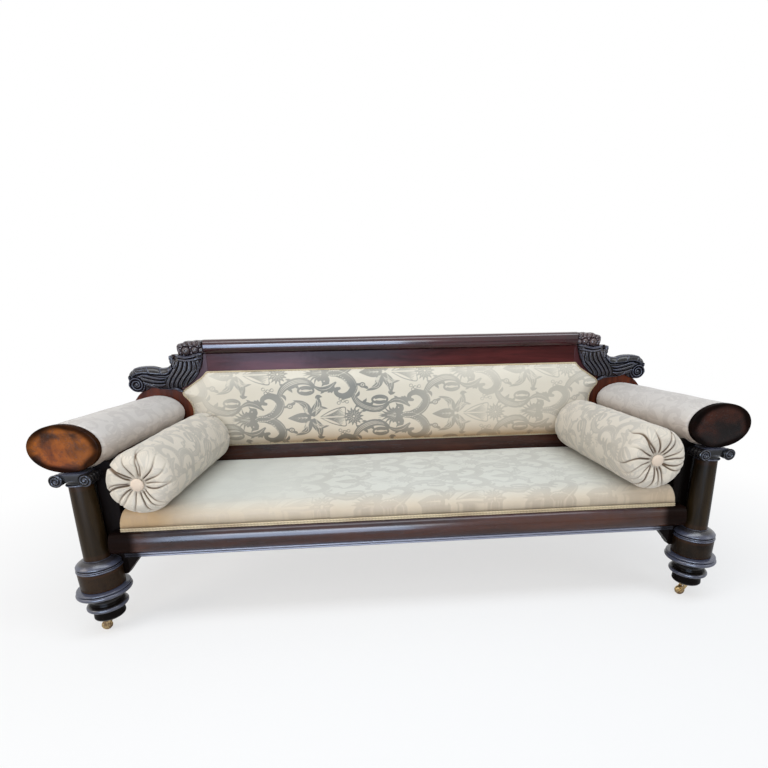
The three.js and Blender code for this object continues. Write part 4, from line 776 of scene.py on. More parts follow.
def long_mouldings():
    """Crest, front rail and its reeded bead, and the frieze, each a section (y, z) carried along X."""
    nose = bezier((-4, 347), (-27, 347), (-33.7, 295), (-18.4, 282), 22)
    moulding("front_rail_moulding", outline_of((45, 282.1), (45, 346.5), (44, 347), (20, 347), nose[:-1],
                                               (-19, 283.4), (-18.4, 282.1)),
             "front_seat_rail", "mahogany", "rail", 90, 0.13)
    moulding("front_bead_moulding", outline_of((4, 266.8), (4, 281.6), (-16, 281.6),
                                               arc(-17.2, 277.9, 3.7, 3.6, 88, 262, 10),
                                               arc(-17.2, 270.5, 3.7, 3.6, 98, 272, 10), (-16, 266.8)),
             "front_rail_bead", "dark_mahogany", "bead", 80, 0.10)
    foot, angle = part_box("crest_rail")[0].z / MM, np.radians(np.linspace(94, 266, 48))
    sine = np.sin(angle)
    nose = np.stack([606 - 29 * np.abs(np.cos(angle))**0.72,
                     foot + 29 + 29 * np.sign(sine) * np.abs(sine)**0.86], 1)
    moulding("crest_moulding", outline_of((650, foot + 0.4), (650, foot + 57.6), (649, foot + 58), nose,
                                          (649, foot + 0.1)), "crest_rail", "mahogany", "crest", 60)
    low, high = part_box("crest_frieze")
    near, far, foot, head = (low.y - ROW_Y) / MM, (high.y - ROW_Y) / MM, low.z / MM, high.z / MM
    section = [(far, foot), (far, head), (near + 1, head), (near, head - 1),
               (near, foot + 1), (near + 1, foot)]
    board = moulding("frieze_board", section, "crest_frieze", "veneer", "frieze", 60)
    x = np.array([vertex.co.x for vertex in board.data.vertices])
    # A painted lilac sheen: a pale spot left of centre on the frieze, with the rest of it slightly darker.
    painted_sheen_spot = 1.1 * bell(x + 0.52, 0.2) - 0.15
    board.data.attributes["wear_and_painted_light"].data.foreach_set("value", painted_sheen_spot.astype(np.float32))


def disc_arc(start, end, steps):
    """Part of the roll's disc at the back, between two angles in degrees."""
    return arc(DISC_X, DISC_Z, DISC_HALF_WIDTH, DISC_HALF_HEIGHT, start, end, steps)


def panel_corner():
    """The back panel's outline, from its top corner round the ear and the roll's disc to its foot."""
    ogee = np.array([(0, 0), (0.22, -0.23), (0.48, -0.41), (0.8, -0.63), (0.95, -0.74), (1.03, -0.86)])
    ear_angle = math.pi - math.asin((PANEL_EAR_Z - DISC_Z) / DISC_HALF_HEIGHT)
    stop = math.pi + math.acos((DISC_X - PANEL_FOOT_X) / DISC_HALF_WIDTH)
    ear = (DISC_X + DISC_HALF_WIDTH * math.cos(ear_angle), PANEL_EAR_Z)
    curve = curve_through([*(ogee * (106, 101) + (PANEL_TOP_X, PANEL_TOP_Z)), ear], 30)
    return outline_of(curve, disc_arc(math.degrees(ear_angle), math.degrees(stop), 24)[1:])


def stile(side, way):
    """Back stile: one board between the panel's outline and the roll's disc, filled front and back."""
    low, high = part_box("back_stile_" + side)
    foot = math.degrees(math.acos((DISC_X - 950) / DISC_HALF_WIDTH)) - 180
    disc = disc_arc(foot, math.degrees(math.acos(0.258)), 60) - (DISC_X, DISC_Z)
    angle = np.degrees(np.arctan2(disc[:, 1] / DISC_HALF_HEIGHT, disc[:, 0] / DISC_HALF_WIDTH))
    disc *= (1 - 0.12 * (1 - smooth(30, 72, angle)) * smooth(-60, -30, angle))[:, None]
    outline = outline_of((792.3, 865.2), (792.3, 793.3), panel_corner() + (0.3, 0), (905.3, PANEL_FOOT_Z),
                         (905.3, 347.4), (950, 347.4), disc + (DISC_X, DISC_Z), (982.7, 788), (912.3, 812),
                         (912.3, 865.2))
    front = np.insert(outline * (way * MM, MM), 1, low.y, 1)
    points, faces = prism(front, front + (0, high.y - low.y, 0))
    board = piece(f"back_stile_{side}_board", points, faces, "veneer", LOOKS["stile"],
                  [f"back_stile_{side}"], 35)
    bevelled(board, 1.4 * MM, 50)


def front_post(side, way):
    """Post behind the column: scribed round the column's back, so that no light shows between the two."""
    low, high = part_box("front_post_" + side)
    inner, outer = sorted((abs(low.x), abs(high.x)))
    scribe, shoulder = 37.8 * MM, 235.2 * MM
    hug = arc(COLUMN_X, COLUMN_Y, scribe, scribe, 146, 74, 12)
    ring = outline_of((inner, low.y), (COLUMN_X - scribe * 0.86, low.y), hug[hug[:, 1] > low.y + 1 * MM],
                      (COLUMN_X + 12 * MM, high.y), (inner, high.y))
    foot = outline_of((inner, 207.7 * MM), (inner + 14.6 * MM, low.z), (outer - 20 * MM, low.z),
                      (outer - 20 * MM, shoulder), (inner, shoulder))
    near = np.insert(foot * (way, 1), 1, low.y, 1)
    base = np.insert(ring * (way, 1), 2, shoulder + 0.3 * MM, 1)
    top = base.copy()
    top[:, 2] = high.z - 0.2 * MM - 0.9 * np.clip(inner + 34 * MM - ring[:, 0], 0, 1)
    points, faces = joined_shells([prism(near, near + (0, 24 * MM, 0)), prism(base, top)])
    piece(f"front_post_{side}_board", points, faces, "dark_mahogany", LOOKS["shaded"],
          [f"front_post_{side}"], 30)


for side_name, side_way in SIDES:
    legs_and_columns(side_name, side_way)
long_mouldings()
eased("lower_back_rail", "rail")
for node_name in ("back_seat_rail", "back_panel", "back_stretcher"):
    eased(node_name, "frame_wood")
for side_name, side_way in SIDES:
    eased("arm_board_" + side_name, "flank")
    eased("side_rail_" + side_name, "flank")
    eased("rail_bracket_" + side_name, "shaded")
    eased("rear_leg_" + side_name, "flank")
    front_post(side_name, side_way)
    stile(side_name, side_way)
    roll_cap(side_name, side_way)
    capital(side_name, side_way)


# The damask's figure, worked out once as a repeating tile of signed distances in millimetres

REPEAT, HALF_DROP = 570, 180


def stroke(points, radii, mirror=True):
    """A swelling stroke as rows of (x, y, radius): a smooth curve with its radius carried along it."""
    p = np.asarray(points, float)
    r = np.interp(np.linspace(0, 1, len(p)), np.linspace(0, 1, len(radii)), radii)
    beads = curve_through(np.column_stack([p, r]), max(4, int(run_along(p)[-1] / 1.5)))
    return np.concatenate([beads, beads * (1, -1, 1)]) if mirror else beads


def leaf(base, tip, width, bend=0.0, mirror=True):
    """A pointed leaf from base to tip, widest at a third, its midrib bowed aside by bend."""
    a, b = np.array(base, float), np.array(tip, float)
    t = np.linspace(0, 1, 7)[:, None]
    spine = a + (b - a) * t + np.array([a[1] - b[1], b[0] - a[0]]) * bend * np.sin(t * math.pi)
    radii = [width * share for share in (0.25, 0.8, 1, 0.85, 0.6, 0.32)]
    return stroke(spine, [*radii, 0.6], mirror)


def curl(centre, radius, turns, start, hand, width):
    """A spiral whose radius shrinks evenly to a third, thinning towards its eye."""
    t = np.linspace(0, 1, 16)[:, None]
    angle, r = math.radians(start) + hand * TURN * turns * t, radius * (1 - 0.68 * t)
    points = np.array(centre) + r * np.concatenate([np.cos(angle), np.sin(angle)], 1)
    return stroke(points, [width, width * 0.8, width * 0.6, width * 0.9])


def hoop(x, y, radius_x, radius_y, steps, radii):
    """A stroke closed round an ellipse."""
    return stroke(arc(x, y, radius_x, radius_y, 0, 360, steps), radii)


# Strokes laid: a scrolling body, an arch over it, its bud and the fan between petals and rosette
BODY = [(-232, 22), (-220, 6), (-192, -1), (-158, 6), (-128, 28), (-114, 58), (-124, 82), (-152, 94),
        (-178, 84), (-180, 66), (-168, 62)]
ARCH = [(-122, 62), (-116, 92), (-98, 122), (-68, 142), (-32, 151), (2, 144), (22, 126)]
STROKES = [
    (BODY, [5, 10, 13, 17, 18, 17, 15, 12, 9, 8, 6]), (ARCH, [5, 9, 13, 15, 14, 10, 5]),
    ([(-30, 108), (-12, 104), (8, 109)], [2.4, 3.4, 2.4]),
    ([(-28, 117), (-12, 120), (6, 117)], [2.2, 3, 2.2]),
    ([(20, 128), (46, 116), (76, 120), (104, 142)], [4, 9, 11, 4]),
    ([(38, 3), (84, 28), (132, 40), (136, 20), (134, 0)], [1.6, 2.2, 2.2, 1.8, 1.2]),
    *(([(40 + 3 * k, 3), (96, 4 + 3.4 * k), (134 - 3 * k, 4 + 6.4 * k)], [0.9, 1.5, 1.3]) for k in range(6))]
LEAVES = [
    ((-196, 46), (-214, 78), 11, -0.2), ((-206, 40), (-236, 54), 7, 0.2), ((60, 118), (42, 98), 6, 0.1),
    ((84, 122), (86, 98), 7, 0.1), ((-4, 0), (-90, 0), 21), ((-56, 66), (-82, 62), 6, 0.2),
    ((24, 80), (50, 84), 8, 0.2), ((206, 52), (246, 20), 9, 0.2), ((220, 34), (196, 22), 6, 0.2),
    ((-104, 96), (-92, 72), 6, 0.15), ((-80, 122), (-64, 104), 6, 0.15), ((-52, 134), (-40, 118), 6, 0.15),
    ((-90, 134), (-112, 146), 6, 0.15), ((-87, 50), (-102, 44), 5), ((259, 26), (244, 20), 5)]
PALMETTE = [((-306, 9), 0.05), ((-300, 26), 0.1), ((-284, 42), 0.14), ((-262, 52), 0.2), ((-308, 0), 0)]
PETALS = [((-6, 6), (-66, 74), 15, -0.22), ((2, 10), (30, 96), 18, -0.16), ((12, 6), (70, 36), 13, 0.26),
          ((-2, 8), (-22, 52), 10, 0.1)]
CURLS = [((-222, 30), 15, 1.1, -60, 1, 6), ((52, 160), 15, 1.2, -150, -1, 5)]
BUDS = [(-78, 50), (268, 26)]
BERRIES = [(112, 58), (128, 66), (144, 62), (120, 74), (136, 80)]
# Strokes and dots cut: the veins of all these
CUTS = [
    ([(-214, -1), (-190, -10), (-154, -3), (-118, 22), (-102, 58), (-112, 88)], [0.9, 1.2, 0.9]),
    ([(-140, 76), (-128, 58), (-140, 36), (-160, 22)], [0.8, 1.2, 0.8]),
    ([(26, 124), (50, 114), (78, 120), (98, 138)], [0.8, 1.4, 0.8]), ([(-14, 0), (-62, 0)], [1.8, 0.7]),
    *(([(x + 8, 1), (x, 9)], [0.9, 0.6]) for x in (-24, -38, -52)),
    *(([(x + shift * 0.6, y - shift) for x, y in ARCH[1:-1]], [0.7, 1.3, 1.3, 0.7]) for shift in (-5, 0, 5)),
    *(([(-234, 3), ((x - 234) / 2, y / 2 + 1)], [0.8, 0.5]) for (x, y), _ in PALMETTE)]
DOTS = [(-204, 11), (-196, 8.5), (-187, 7.5), (-178, 8), (-169, 10.5), (-160, 14.5), (-152, 20), (-145, 27),
        (-140, 35)]


def dot(x, y, radius):
    """A dot and its mirror image."""
    return np.array([[x, y, radius], [x, -y, radius]])


def damask_strokes():
    """Everything laid and everything cut for one motif, its axis along X."""
    laid = [stroke(*row) for row in STROKES] + [leaf(*row) for row in LEAVES + PETALS]
    laid += [curl(*row) for row in CURLS] + [leaf((-228, 2), tip, 5.2, bend) for tip, bend in PALMETTE]
    laid += [hoop(x, y, 6.5, 6, 9, [1.4, 1.8, 1.4]) for x, y in BERRIES]
    laid += [hoop(x, y, 10, 8.5, 15, [2.4, 2.8, 2.4]) for x, y in BUDS] + [dot(x, y, 3.4) for x, y in BUDS]
    laid.append(hoop(-12, 112, 30, 15, 15, [4, 5, 4, 5, 4]))
    cuts = [stroke(*row) for row in CUTS] + [dot(x, y, 2.1) for x, y in DOTS]
    for base, tip, _, bend in PETALS:
        a, b = np.array(base, float), np.array(tip, float)
        side = np.array([a[1] - b[1], b[0] - a[0]])
        cuts += [stroke([a + (b - a) * 0.1, (a + b) / 2 + side * (bend + shift), a + (b - a) * 0.86],
                        [0.8, 1.3, 0.5]) for shift in (-0.08, 0.02, 0.12)]
    eye = np.array([168, 0])
    laid.append(dot(*eye, 24))
    cuts.append(dot(*eye, 4))
    for angle in round_steps(14):
        away = np.array([math.cos(angle), math.sin(angle)])
        laid.append(np.array([[*(eye + 23 * away), 6.0]]))
        laid.append(leaf(eye + away * 24, eye + away * 41, 3.6, 0.1, False))
        cuts.append(stroke([eye + away * 9, eye + away * 24], [0.9, 1.2], False))
    return laid, cuts


def damask_tile():
    """Two rows of the motif, the second half a repeat along: all of it laid as circles, then cut.

    Laying keeps the greater of the old distance and a circle's radius less the distance from its centre."""
    tile = np.full((2 * HALF_DROP, REPEAT), -8.0)
    for strokes, cut in zip(damask_strokes(), (False, True)):
        circles = np.concatenate(strokes)
        for x, y, r in np.concatenate([circles, circles + (REPEAT / 2, HALF_DROP, 0)]):
            steps = np.arange(-int(r) - 8, int(r) + 9)
            j, i = int(x) + steps, int(y) + steps
            value = r - np.hypot(j[None] - x, i[:, None] - y)
            spot = np.ix_(i % (2 * HALF_DROP), j % REPEAT)
            tile[spot] = np.minimum(tile[spot], -value) if cut else np.maximum(tile[spot], value)
    return tile


TILE = damask_tile()


def figure_at(u, v, turn=0.0, shift=(0, 0), growth=1.0):
    """The tile read between its texels at cloth places in metres, with the cloth turned and shifted."""
    c, s = math.cos(turn), math.sin(turn)
    x = ((u * c - v * s) / growth / MM - shift[0]) % REPEAT
    y = ((u * s + v * c) / growth / MM - shift[1]) % (2 * HALF_DROP)
    j, i = np.floor(x).astype(int), np.floor(y).astype(int)
    a, b = x - j, y - i
    j, i = j % REPEAT, i % (2 * HALF_DROP)
    after, above = (j + 1) % REPEAT, (i + 1) % (2 * HALF_DROP)
    return ((TILE[i, j] * (1 - a) + TILE[i, after] * a) * (1 - b)
            + (TILE[above, j] * (1 - a) + TILE[above, after] * a) * b)


# Upholstery

def cushion(name, shell, look, node, figure, uv, fade, soil, body="frame"):
    """A padded piece whose damask follows its attributes: figure distance, the figure's painted sheen, and
    warm soiling with painted shade.
    """
    made = piece(name, *shell, "damask", CLOTHS[look], [node], None,
                 {"figure": figure, "fade": fade, "soil": soil}, uv, body)


def two_sided(top, under):
    """Closes a grid surface with a second sheet joined round its rim: (points, faces)."""
    rows, columns = top.shape[:2]
    upper = grid_faces(rows, columns)
    i, j = np.arange(rows), np.arange(columns)
    rim = np.concatenate([j, i[1:] * columns + columns - 1, (rows - 1) * columns + j[::-1][1:],
                          i[::-1][1:-1] * columns])
    after, sheet = np.roll(rim, -1), rows * columns
    wall = np.stack([rim, rim + sheet, after + sheet, after], 1)
    return (np.concatenate([top.reshape(-1, 3), under.reshape(-1, 3)]),
            [*upper.tolist(), *(upper[:, ::-1] + sheet).tolist(), *wall.tolist()])


def sheet_cushion(name, face, axis, level, look, node, figure, fade, soil):
    """A cushion of one shaped face and a flat one at a level along an axis; both carry the same cloth."""
    flat = face.copy()
    flat[..., axis] = level
    uv = np.delete(face, axis, -1).reshape(-1, 2)
    figure, fade, soil = (np.tile(a.ravel(), 2) for a in (figure, fade, np.clip(soil, 0, 1)))
    cushion(name, two_sided(face, flat), look, node, figure, np.tile(uv, (2, 1)), fade, soil)


def crowded(steps, power):
    """Places from -1 to 1 that crowd together towards both ends."""
    s = np.linspace(-1, 1, steps)
    return np.sign(s) * (1 - (1 - np.abs(s))**power)


def seat():
    """Seat: nearly square at its ends and corners, rounded over along the front, crowned by a low arch."""
    low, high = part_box("seat_pad")
    s, t = np.meshgrid(crowded(520, 1.35), crowded(180, 1.5))
    x = (low.x + high.x) / 2 + s * (high.x - low.x) / 2
    y = (low.y + high.y) / 2 + t * (high.y - low.y) / 2
    side, front, rear = high.x - np.abs(x), y - low.y, high.y - y
    corner = smooth(0.0, 0.34, side)
    rise = (0.45 + 0.55 * quarter_round(side, 0.020)) * (0.5 + 0.5 * quarter_round(rear, 0.06))
    rise = rise * (0.45 + 0.55 * quarter_round(front, 0.022 + 0.026 * corner))
    arch = 0.93 + 0.07 * (1 - s**2) * (1 - 0.6 * t**2)
    waves = ripples(5, 5, 5, 12)(x, y)
    tug = np.exp(-front / 0.05) * 1.2 * MM * np.sin(x * 74 + 1.3 * np.sin(x * 19)) * corner
    crown = high.z - low.z - 6 * MM + 1.4 * MM * waves
    z = low.z + 1 * MM + rise * arch * crown + tug * smooth(0, 0.3, rise)
    # The figure shows most in the middle, least at the left end and half at the right: a painted satin sheen.
    fade = 0.3 + 0.7 * smooth(-0.5, -0.2, x) * (1 - 0.5 * smooth(0.5, 0.8, x))
    # Darker along the front edge, by the front-left corner and towards the right end.
    by_left = bell(x - low.x, 0.16) * bell(front, 0.10)
    soil = 0.55 * np.exp(-front / 0.035) + 0.75 * by_left + 0.2 * smooth(0.7, 1, s)
    sheet_cushion("seat_cushion", np.stack([x, y, z], -1), 2, low.z + 0.4 * MM, "seat", "seat_pad",
                  figure_at(x, y, 0.0, (120, 60)), fade, soil)


def panel_edge(inset):
    """Closed outline of the back panel in metres, counter-clockwise from the left foot, drawn in by inset."""
    right = outline_of((PANEL_FOOT_X, PANEL_FOOT_Z), panel_corner()[::-1])
    ring = even_steps(np.concatenate([right, right[::-1] * (-1, 1), right[:1]]), 901)[:-1]
    ahead = np.roll(ring, -3, 0) - np.roll(ring, 3, 0)
    normal = np.stack([-ahead[:, 1], ahead[:, 0]], 1) / np.linalg.norm(ahead, axis=1)[:, None]
    return (ring + normal * inset) * MM


def back():
    """Back pad: rows between the panel's shaped ends, crowned by distance from its edge."""
    low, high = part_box("back_pad")
    foot, head, hem = PANEL_FOOT_Z * MM, PANEL_TOP_Z * MM, 4.8 * MM
    end = outline_of((PANEL_FOOT_X, PANEL_FOOT_Z), panel_corner()[::-1]) * MM
    t = 0.5 + 0.5 * crowded(150, 1.35)
    z = foot + hem + t * (head - foot - 2 * hem)
    half = np.interp(z, end[:, 1], end[:, 0])
    half = half - np.minimum(hem * np.hypot(1, np.gradient(half, z)), 11 * MM)
    x, z = half[:, None] * crowded(600, 1.3), np.repeat(z[:, None], 600, 1)
    away = np.full(x.shape, 9.0)
    for edge_x, edge_z in panel_edge(0)[::3]:
        away = np.minimum(away, np.hypot(x - edge_x, z - edge_z))
    swell = (1 - (1 - np.clip((away - 4.6 * MM) / 0.08, 0, 1))**2.4)**0.62
    waves = ripples(9, 5, 6, 15)(x, z)
    edge_y = BOARD_Y - 1 * MM
    y = edge_y - swell * (edge_y - low.y - 0.8 * MM * (1 + waves))
    # The figure shows most left of centre and less towards the top: a painted satin sheen.
    bright = smooth(-0.95, -0.45, x) * (1 - 0.68 * smooth(-0.2, 0.4, x))
    fade = np.clip(bright * (1 - 0.35 * smooth(0.68, 0.79, z)) + 0.12, 0, 1)
    up = z - foot - hem
    # Darker along the bottom edge, most on the left: painted shade in the crease where the back meets the
    # seat.
    soil = 0.85 * np.exp(-up / 0.03) * smooth(-0.8, -0.3, x) + 0.28 * np.exp(-up / 0.12)
    figure = figure_at(x / 1.1, 0.588 + (z - 0.588) / 1.04, 0.0, (-341, 588))
    face = np.stack([x, y, z], -1)
    sheet_cushion("back_upholstery", face, 1, high.y, "back", "back_pad", figure, fade, soil)


def roll_cover(side, way):
    """Arm roll cover: an ellipse drawn in at its ends, with slight gathers behind the cap."""
    low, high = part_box("roll_pad_" + side)
    a, b, sleeve = (high.x - low.x) / 2, (high.z - low.z) / 2, 14.8 * MM
    along, angle = np.linspace(0, 1, 150)[:, None], round_steps(180)
    y = low.y + (high.y - low.y) * along
    ends = np.minimum(along, 1 - along) * (high.y - low.y)
    away_from_ends = smooth(0, 0.05, ends)
    drawn = 12 * MM * (1 - np.clip(ends / 0.012, 0, 1))**2 + 1.6 * MM * (1 - np.clip(ends / 0.05, 0, 1))
    drawn = drawn + 3.5 * MM * np.clip(np.sin(angle), 0, 1)
    gather = 0.45 * MM * np.exp(-ends / 0.03) * np.sin(34 * angle + 1.2 * np.sin(5 * angle))
    slack = 0.48 * MM * ripples(31 + way, 4, 4, 11)(along * 3, angle) * away_from_ends
    towards_seat = np.clip(np.cos(angle - (math.pi + 0.75 if way > 0 else -0.75)), 0, 1)**1.5
    pressed = 10 * MM * towards_seat * away_from_ends * (1 - 0.6 * along)
    inward = drawn - gather - slack + 0.8 * MM - pressed
    outer = round_y(angle, ROLL_X * way, ROLL_Z, a - inward, b - inward, y)
    inner = round_y(angle, ROLL_X * way, ROLL_Z, a - sleeve, b - sleeve, y)
    u = angle * math.sqrt((a * a + b * b) / 2)
    v = outer[..., 1]
    figure = figure_at(v, u, 0.35 * way, (40, 90), 0.8)
    # The figure's strength changes round the roll: a painted satin sheen.
    fade = 0.5 + 0.4 * np.sin(angle + 0.5 * way)**2
    # Darker on the underside of the roll: painted shade.
    soil = 0.5 * smooth(0.6, -0.9, np.sin(angle))
    u, fade, soil = (np.broadcast_to(field, v.shape) for field in (u, fade, soil))
    u, v, figure, fade, soil = (np.concatenate([p, p[::-1]]).ravel() for p in (u, v, figure, fade, soil))
    shell = closed_ring(np.concatenate([outer, inner[::-1]]))
    cushion(f"roll_cover_{side}", shell, "roll", f"roll_pad_{side}", figure, np.stack([u, v], 1), fade, soil)


# Bolsters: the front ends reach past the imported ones, and the left one droops there
REACH, DROOP = 9 * MM, 9 * MM
CREASES = 17


def bolster_profile(radius, total):
    """Half outline of a bolster from its button: a dish, a flat face, a round shoulder and the side."""
    dish = np.array([(19, 12.5), (24, 10), (32, 6.2), (44, 3), (56, 1.6)]) * MM
    shoulder = arc(radius - 38 * MM, 42 * MM, 38 * MM, 41.5 * MM, -88, 0, 14)
    half = outline_of(dish, shoulder, (radius, 90 * MM), (radius + 0.2 * MM, total / 2))
    return even_steps(curve_through(half, 300), 150)


def creases(seed, run, reach, angle):
    """Folds from the button over the shoulder: Gaussian bells of seeded place, length, depth and wander."""
    rng = np.random.default_rng(seed)
    centres = (np.arange(CREASES) + rng.uniform(-0.3, 0.3, CREASES)) * TURN / CREASES
    folds = np.zeros((len(run), len(angle)))
    for k in range(CREASES):
        length, depth = rng.uniform(0.1, 0.2), rng.uniform(0.7, 1.6)
        drift = rng.uniform(-0.1, 0.42) * (run / 0.1) + 0.05 * np.sin(run * 60 + k)
        gap = (angle - centres[k] - drift + math.pi) % TURN - math.pi
        width = 0.0022 + 0.012 * run + 0.0006 * rng.uniform()
        strength = depth * (1 - np.clip(run / length, 0, 1))**0.8 * smooth(-0.004, 0.012, run)
        folds += strength * np.exp(-np.abs(gap * reach / width)**1.6)
    return folds


def bolster(side, way):
    """Loose bolster, leaning a little past its rest: a turned profile, creased, with soft billows between."""
    low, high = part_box("bolster_" + side)
    plump, outward = (1.068, -13 * MM) if way > 0 else (1.035, 4 * MM)
    radius = (high.z - low.z) / 2 * plump - 0.8 * MM
    x, z = (low.x + high.x) / 2 + way * outward, low.z + radius + 0.8 * MM
    total = high.y - low.y + REACH
    half, angle = bolster_profile(radius, total), round_steps(400)
    tangent = np.gradient(half, axis=0)
    tangent /= np.linalg.norm(tangent, axis=1)[:, None]
    inward = np.stack([-tangent[:, 1], tangent[:, 0]], 1)
    run = run_along(half)[:, None]
    grids, pleats = [], []
    for end in (0, 1):
        folds = creases(RANDOM_SEED + 2 * end + way, run, half[:, :1], angle)
        billow = 0.30 * np.sin(angle * CREASES + 3 * np.sin(angle * 2 + way)) * np.exp(-run / 0.07)
        slack = ripples(50 + way + end, 4, 5, 12)(run * 8, angle) * smooth(0.02, 0.2, run)
        depth = (6.6 * np.clip(folds, 0, 1.6) + 2.4 * (billow + 0.3) + 0.8 * (slack + 1.2)) * MM
        rim = half[:, None] + inward[:, None] * depth[..., None]
        y = np.clip(total - rim[..., 1] if end else rim[..., 1], 0.3 * MM, total - 0.3 * MM)
        drop = DROOP * (1 - y / total)**2 * (way < 0)
        full = 1 + (0.02 + 0.05 * smooth(0.1, 0.7, y / total)) * np.clip(np.sin(angle), 0, 1)
        grids.append(round_y(angle, x, z - drop, rim[..., 0], rim[..., 0] * full, low.y - REACH + y))
        pleats.append(folds)
    grid = np.concatenate([grids[0][:-1], grids[1][::-1]])
    pleat = smooth(0.1, 0.9, np.concatenate([pleats[0][:-1], pleats[1][::-1]]))
    inside = np.exp(-run / 0.11)
    inside = np.concatenate([inside[:-1], inside[::-1]])
    u, v = angle * radius, run_along(grid[:, 0])[:, None]
    figure, fade = figure_at(v, u, 0.9 * way, (70, 40), 0.8), 0.95 - 0.6 * inside
    # Darker in the pleat valleys and a little towards the ends: painted shade in the creases.
    fields = np.broadcast_arrays(u, v, figure, fade, 0.06 * inside + 0.95 * pleat + 0.05)
    u, v, figure, fade, soil = (np.r_[field.ravel(), field[0, 0], field[-1, 0]] for field in fields)
    cushion(f"bolster_cover_{side}", tube_shell(grid), "bolster", f"bolster_{side}", figure,
            np.stack([u, v], 1), fade, soil, f"loose_bolster_{side}")
    button("bolster_button_front_" + side, f"loose_bolster_{side}", -1, x, z - DROOP * (way < 0))
    button("bolster_button_back_" + side, f"loose_bolster_{side}", 1, x, z)


def button(node, body, facing, x, z):
    """Covered button: a dome with a rolled rim and eight faint tucks. A front one follows the reach."""
    low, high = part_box(node)
    radius, depth = ((high.x - low.x) / 2 - 0.2 * MM) / 1.012, high.y - low.y - 0.4 * MM
    share = outline_of((0.03, 1.0), (0.2, 0.99), (0.4, 0.95), (0.6, 0.86), (0.78, 0.7), (0.9, 0.5),
                       (0.97, 0.3), (1, 0.12), (0.97, 0.02), (0.8, 0), (0.4, 0), (0.03, 0))
    angle = round_steps(48)
    wide = radius * share[:, :1] * (1 + 0.012 * np.cos(angle * 8))
    foot = low.y + 0.2 * MM if facing > 0 else high.y - REACH - 0.2 * MM
    points, faces = tube_shell(round_y(angle, x, z, wide, wide, foot + facing * depth * share[:, 1:]))
    plain = np.zeros(len(points))
    cushion(node + "_cover", (points, faces), "gathers", node, plain - 5, points[:, [0, 2]], plain + 0.3,
            plain + 0.35, body)


def piping(path, radius, closed):
    """Cord: circles carried round a path, with its UV along the cord. Returns (points, faces) and the UV."""
    tangent = np.roll(path, -1, 0) - np.roll(path, 1, 0) if closed else np.gradient(path, axis=0)
    tangent /= np.linalg.norm(tangent, axis=1)[:, None]
    side = np.cross(tangent, (0.0, 1.0, 0.0))
    side /= np.linalg.norm(side, axis=1)[:, None]
    up = np.cross(side, tangent)
    angle = round_steps(10)[:, None]
    grid = path[:, None] + radius * (np.cos(angle) * side[:, None] + np.sin(angle) * up[:, None])
    uv = np.stack(np.broadcast_arrays(run_along(path)[:, None], angle.T * radius), -1).reshape(-1, 2)
    return (closed_ring(grid), uv) if closed else (tube_shell(grid), np.concatenate([uv, uv[:1], uv[-1:]]))


def cords():
    """Piping round the back panel and the double piping along the seat's front edge, with a slight wander."""
    ring = panel_edge(2.6)
    low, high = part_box("back_piping")
    wander = ripples(3, 4, 30, 90)(np.arange(len(ring)) * 0.004, 0.0) * 0.5 * MM
    shell, uv = piping(np.insert(ring, 1, (low.y + high.y) / 2 + wander, 1), 3.8 * MM, True)
    piece("back_cord", *shell, "damask", CORD, ["back_piping"], uv=uv)
    low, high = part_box("seat_piping")
    inset = 3.4 * MM
    x = np.linspace(low.x + inset, high.x - inset, 420)
    sway = ripples(4, 4, 20, 60)(x, 0.0) * 0.4 * MM
    made = [piping(np.stack([x, (low.y + high.y) / 2 + sway * 0.3, z + sway * 0.2], 1), 3.3 * MM, False)
            for z in (low.z + inset, high.z - inset)]
    piece("seat_cord", *joined_shells([shell for shell, _ in made]), "damask", CORD, ["seat_piping"],
          uv=np.concatenate([uv for _, uv in made]))


def dress(node, material):
    """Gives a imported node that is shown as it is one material."""
    node.data.materials.clear()
    node.data.materials.append(material)


seat()
back()
cords()
for side_name, side_way in SIDES:
    roll_cover(side_name, side_way)
    bolster(side_name, side_way)
    dress(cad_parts["roll_core_" + side_name], LOOKS["frame_wood"])
for node_name, packed_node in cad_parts.items():
    if node_name.startswith("caster_"):
        dress(packed_node, BRASS)
dress(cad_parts["seat_webbing"], JUTE)


# Carving, in millimetres: heights over the places (x, z) of a grid

def off_segment(x, z, start, end):
    """Offset of each place from a segment's nearest point, and that point's share along the segment."""
    (ax, az), dx, dz = start, end[0] - start[0], end[1] - start[1]
    t = np.clip(((x - ax) * dx + (z - az) * dz) / (dx * dx + dz * dz + 1e-9), 0, 1)
    return x - ax - t * dx, z - az - t * dz, t


def signed_inside(x, z, ring):
    """Distance to a closed outline, positive inside: nearest segment, with the crossing rule for the sign."""
    ring = np.asarray(ring, float)
    inside, best = np.zeros(x.shape, bool), np.full(x.shape, 1e9)
    for start, end in zip(ring, np.roll(ring, -1, 0)):
        best = np.minimum(best, np.hypot(*off_segment(x, z, start, end)[:2]))
        (ax, az), (bx, bz) = start, end
        inside ^= ((az > z) != (bz > z)) & (x < (bx - ax) * (z - az) / (bz - az + 1e-12) + ax)
    return np.where(inside, best, -best)


